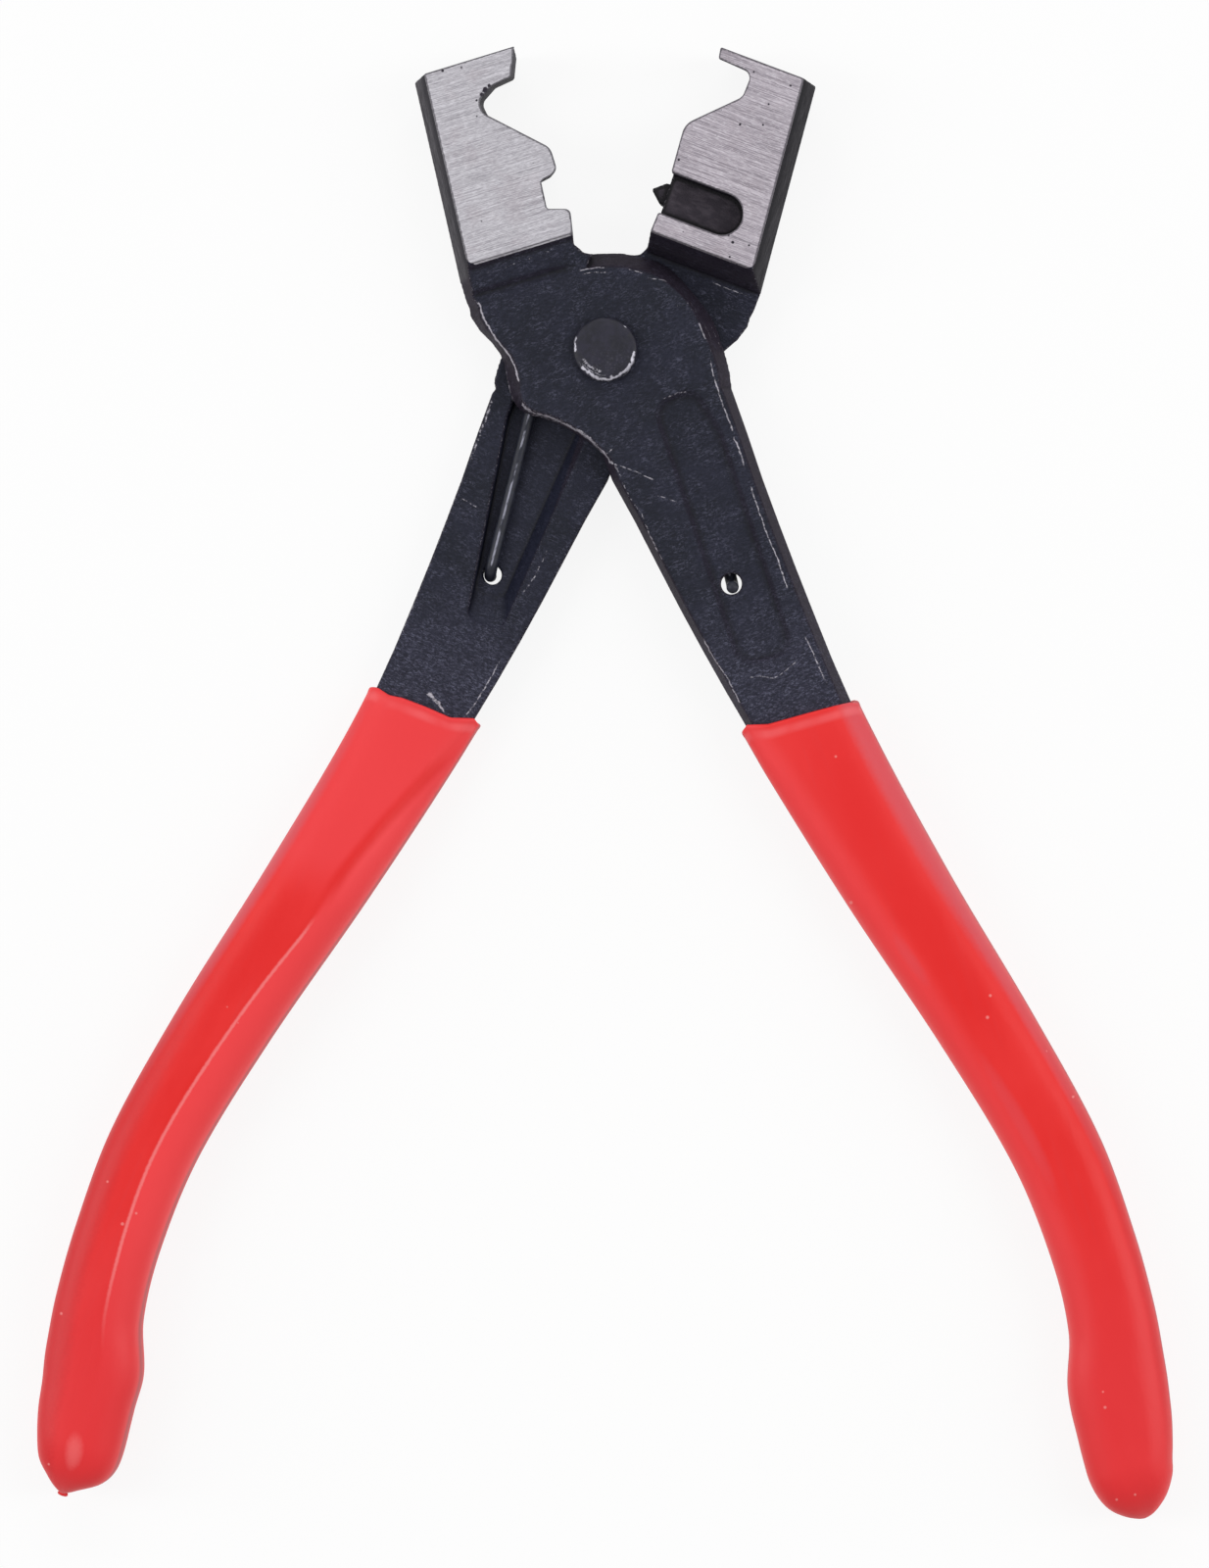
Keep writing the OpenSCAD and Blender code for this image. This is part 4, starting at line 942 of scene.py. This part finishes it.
def peened_rivet():
    """Rivet with a dented head on both sides, its worn lines, painted shade in the crease round its heads
    and the scuffed lower part."""
    head = [(max(r, 0), depth) for r, depth in curve_through(HEAD, 4)]
    line = ([(r, THICK - depth) for r, depth in head[1:]]
            + [(SHANK_R, THICK - HEAD_DEPTH), (SHANK_R, HEAD_DEPTH)] + head[:0:-1])
    angles = [2 * math.pi * j / RIVET_AROUND for j in range(RIVET_AROUND)]
    points = [(0, 0, THICK)]
    points += [(r * math.cos(a), r * math.sin(a), z) for r, z in line for a in angles]
    points.append((0, 0, 0))
    last, base = len(points) - 1, len(points) - 1 - RIVET_AROUND
    pairs = [(j, (j + 1) % RIVET_AROUND) for j in range(RIVET_AROUND)]
    faces = [(0, 1 + j, 1 + k) for j, k in pairs]
    faces += [(a, d, c, b) for a, b, c, d in ring_faces(len(line), RIVET_AROUND, 1)]
    faces += [(base + j, last, base + k) for j, k in pairs]

    points = np.array(points, float)
    dent = lumps(points, 0.55, 3.1) * 0.10 + lumps(points, 1.5, 8.2) * 0.05
    heads = np.abs(points[:, 2] - MID_Z) > 4.2
    inward = np.where(points[:, 2] > MID_Z, -1, 1)
    points[:, 2] += np.where(heads, inward * (0.09 + dent), 0)
    radius = np.linalg.norm(points[:, :2], axis=1)
    wobble = 1 + np.where(heads & (radius > 3), lumps(points, 0.5, 5.5) * 0.012 - 0.006, 0)
    points[:, :2] *= wobble[:, None]
    made = mesh_object("peened_rivet", points, faces)
    at, amount = line_field(points, RIVET_LINES)
    low = ease((-points[:, 1] + 0.3 * points[:, 0]) / 5.0 + 0.12)
    inside = np.abs(points[:, 2] - MID_Z) < 4.9
    put_attributes(made, line_a=at, amount_a=amount * (points[:, 2] > 9),
                   crease=np.clip((radius - 4.42) / 0.1, 0, 1) * inside,
                   scuff=low * np.clip(1 - radius / 4.6, 0, 1))
    return made


def rivet_material():
    g = Material("rivet_peened")
    here = g.place()
    cloud = g.noise(here, 0.8, 4, 0.65)
    grit = g.noise(here, 3.2, 3, 0.7)
    worn = worn_lines(g, "a", grit)
    colour = g.blend(g.step(cloud, 0.35, 0.65), rgb(18, 18, 29), rgb(31, 30, 44))
    scuff = g.times(g.attribute("scuff"), g.step(grit, 0.52, 0.70))
    colour = g.tint(colour, rgb(112, 110, 122), scuff, 0.7)
    colour = g.blend(worn, colour, rgb(178, 176, 186))
    # Painted shade in the crease round the head
    colour = g.blend(g.attribute("crease"), colour, rgb(10, 10, 14))
    return g.shader(Base_Color=colour, Metallic=g.times(worn, 0.6), Roughness=g.mix(cloud, 0.42, 0.58),
                    Specular_IOR_Level=0.28, Normal=g.bump(g.plus(cloud, g.times(grit, 0.4)), 0.5, 0.12))


rivet = peened_rivet()
rivet.data.materials.append(rivet_material())
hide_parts("pivot_rivet")
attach(rivet, "front_half")


# Spring wire on the solids' own path
COIL_R, COIL_PITCH, BEND_R, WIRE_R = 8.5, 1.75, 1.8, 0.85
COIL_STEPS, LEG_STEPS, WIRE_SIDES = 160, 12, 32
# Where the legs go into the necks, each in its handle's frame, and how far below the face they end
FRONT_PIN, BACK_PIN = (6.2, -36.43, 0), (5.594, -34.499, 0)
PIN_GAP = 0.4


def polar(radius, angle):
    """Point in the plane at a radius and an angle in degrees."""
    a = math.radians(angle)
    return np.array([radius * math.cos(a), radius * math.sin(a)])


def touch(pin, way):
    """Angle at which a straight leg to the pin leaves the coil, on the side told by way."""
    reach = math.degrees(math.acos(COIL_R / np.linalg.norm(pin)))
    return math.degrees(math.atan2(pin[1], pin[0])) + way * reach


def spring_leg(pin, angle, z, end_z):
    """Leg from where it leaves the coil to its end, bent into the hole at the pin."""
    start = polar(COIL_R, angle)
    along = (pin - start) / np.linalg.norm(pin - start)
    down = math.copysign(1, end_z - z)
    corner = pin - along * BEND_R
    path = [np.append(start + (corner - start) * i / LEG_STEPS, z) for i in range(1, LEG_STEPS)]
    for i in range(LEG_STEPS + 1):
        a = math.radians(90 * i / LEG_STEPS)
        path.append(np.append(corner + along * BEND_R * math.sin(a), z + down * BEND_R * (1 - math.cos(a))))
    path.append(np.append(pin, end_z))
    return path


def spring_path():
    """Path of the wire from the end in the back neck to the one in the front, and the coil's levels."""
    front_pin, back_pin = from_front_handle(FRONT_PIN)[:2], from_back_handle(BACK_PIN)[:2]
    front_touch, back_touch = touch(front_pin, 1), touch(back_pin, -1) + 360
    sweep = back_touch - front_touch + 360
    rise = COIL_PITCH * sweep / 360
    low, high = MID_Z - rise / 2, MID_Z + rise / 2
    coil = [np.append(polar(COIL_R, back_touch - sweep * i / COIL_STEPS), low + rise * i / COIL_STEPS)
            for i in range(COIL_STEPS + 1)]
    back_leg = spring_leg(back_pin, back_touch, low, THICK - PLATE_Z + PIN_GAP)
    front_leg = spring_leg(front_pin, front_touch, high, PLATE_Z - PIN_GAP)
    return np.array(back_leg[::-1] + coil + front_leg), low, high


def spring_wire(path):
    """Wire swept along the path, with how far each point faces up."""
    way = np.gradient(path, axis=0)
    way /= np.linalg.norm(way, axis=1)[:, None]
    side = np.array([1, 0, 0])
    points, over = [], []
    last = len(path) - 1
    for i, (p, w) in enumerate(zip(path, way)):
        side = side - w * (side @ w)
        side /= np.linalg.norm(side)
        up = np.cross(w, side)
        r = WIRE_R * (0.86 if i in (0, last) else 1)
        for j in range(WIRE_SIDES):
            a = 2 * math.pi * j / WIRE_SIDES
            away = side * math.cos(a) + up * math.sin(a)
            points.append(p + r * away)
            over.append(away[2])
    faces = cap_faces(len(path), WIRE_SIDES) + ring_faces(len(path), WIRE_SIDES)
    made = mesh_object("spring_coil", points, faces)
    put_attributes(made, over=over)
    return made


def wire_material():
    g = Material("spring_wire")
    cloud = g.noise(g.place(), 0.7, 3, 0.6)
    streak = g.noise(g.place(-BACK_ANGLE - 7, (1, 0.35, 1), (2, 5, 1)), 1, 3, 0.6)
    colour = g.blend(g.step(cloud, 0.35, 0.7), rgb(22, 24, 34), rgb(38, 40, 52))
    glint = g.times(g.step(g.attribute("over"), 0.972, 0.998), g.step(streak, 0.42, 0.58))
    colour = g.tint(colour, rgb(150, 150, 164), glint, 0.9)
    return g.shader(Base_Color=colour, Metallic=g.times(glint, 0.5), Roughness=g.mix(cloud, 0.42, 0.55),
                    Specular_IOR_Level=0.3, Normal=g.bump(cloud, 0.3, 0.05))


wire_path, coil_low, coil_high = spring_path()
spring = spring_wire(wire_path)
spring.data.materials.append(wire_material())
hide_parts("return_spring")
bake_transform(spring)


# Floor, world and lamps: pale floor that the camera sees as white, soft light from three sides
FLOOR_REACH, FLOOR_LEVEL = 3000, -0.02


def floor_material():
    g = Material("floor_pale")
    tone = g.blend(g.noise(g.place(), 0.02, 2, 0.5), (0.93, 0.93, 0.93, 1), (0.95, 0.95, 0.95, 1))
    lit = g.node("BsdfDiffuse", Color=tone)
    shine = g.node("Emission", Color=WHITE, Strength=1)
    both = g.node("MixShader")
    g.fill(both.inputs, g.times(g.straight_rays(), 0.88), lit.outputs[0], shine.outputs[0])
    return g.surface(both)


corners = [(-1, -1), (1, -1), (1, 1), (-1, 1)]
floor = mesh_object("floor", [(x * FLOOR_REACH, y * FLOOR_REACH, FLOOR_LEVEL) for x, y in corners],
                    [(0, 1, 2, 3)])
floor.data.materials.append(floor_material())

world = bpy.data.worlds.new("studio")
bpy.context.scene.world = world
world.use_nodes = True
studio = Graph(world.node_tree)
sky = world.node_tree.nodes["Background"]
studio.put(sky.inputs["Color"], WHITE)
studio.put(sky.inputs["Strength"], studio.mix(studio.straight_rays(), 0.36, 1))


def softbox(name, place, size, watts):
    lamp = bpy.data.lights.new(name, "AREA")
    lamp.shape = "RECTANGLE"
    lamp.size, lamp.size_y = size
    lamp.energy = watts
    made = add_object(name, lamp)
    made.location = place
    made.rotation_euler = (Vector((0, -0.06, 0)) - made.location).to_track_quat("-Z", "Y").to_euler()
    made.visible_camera = False


softbox("softbox_left", (-1, 0.05, 0.75), (0.35, 1.4), 6.9)
softbox("softbox_right", (1, 0.05, 0.75), (0.35, 1.4), 6.9)
softbox("softbox_far", (0, 1.1, 1), (1.4, 0.35), 5.6)

bpy.context.scene.view_settings.view_transform = "Standard"
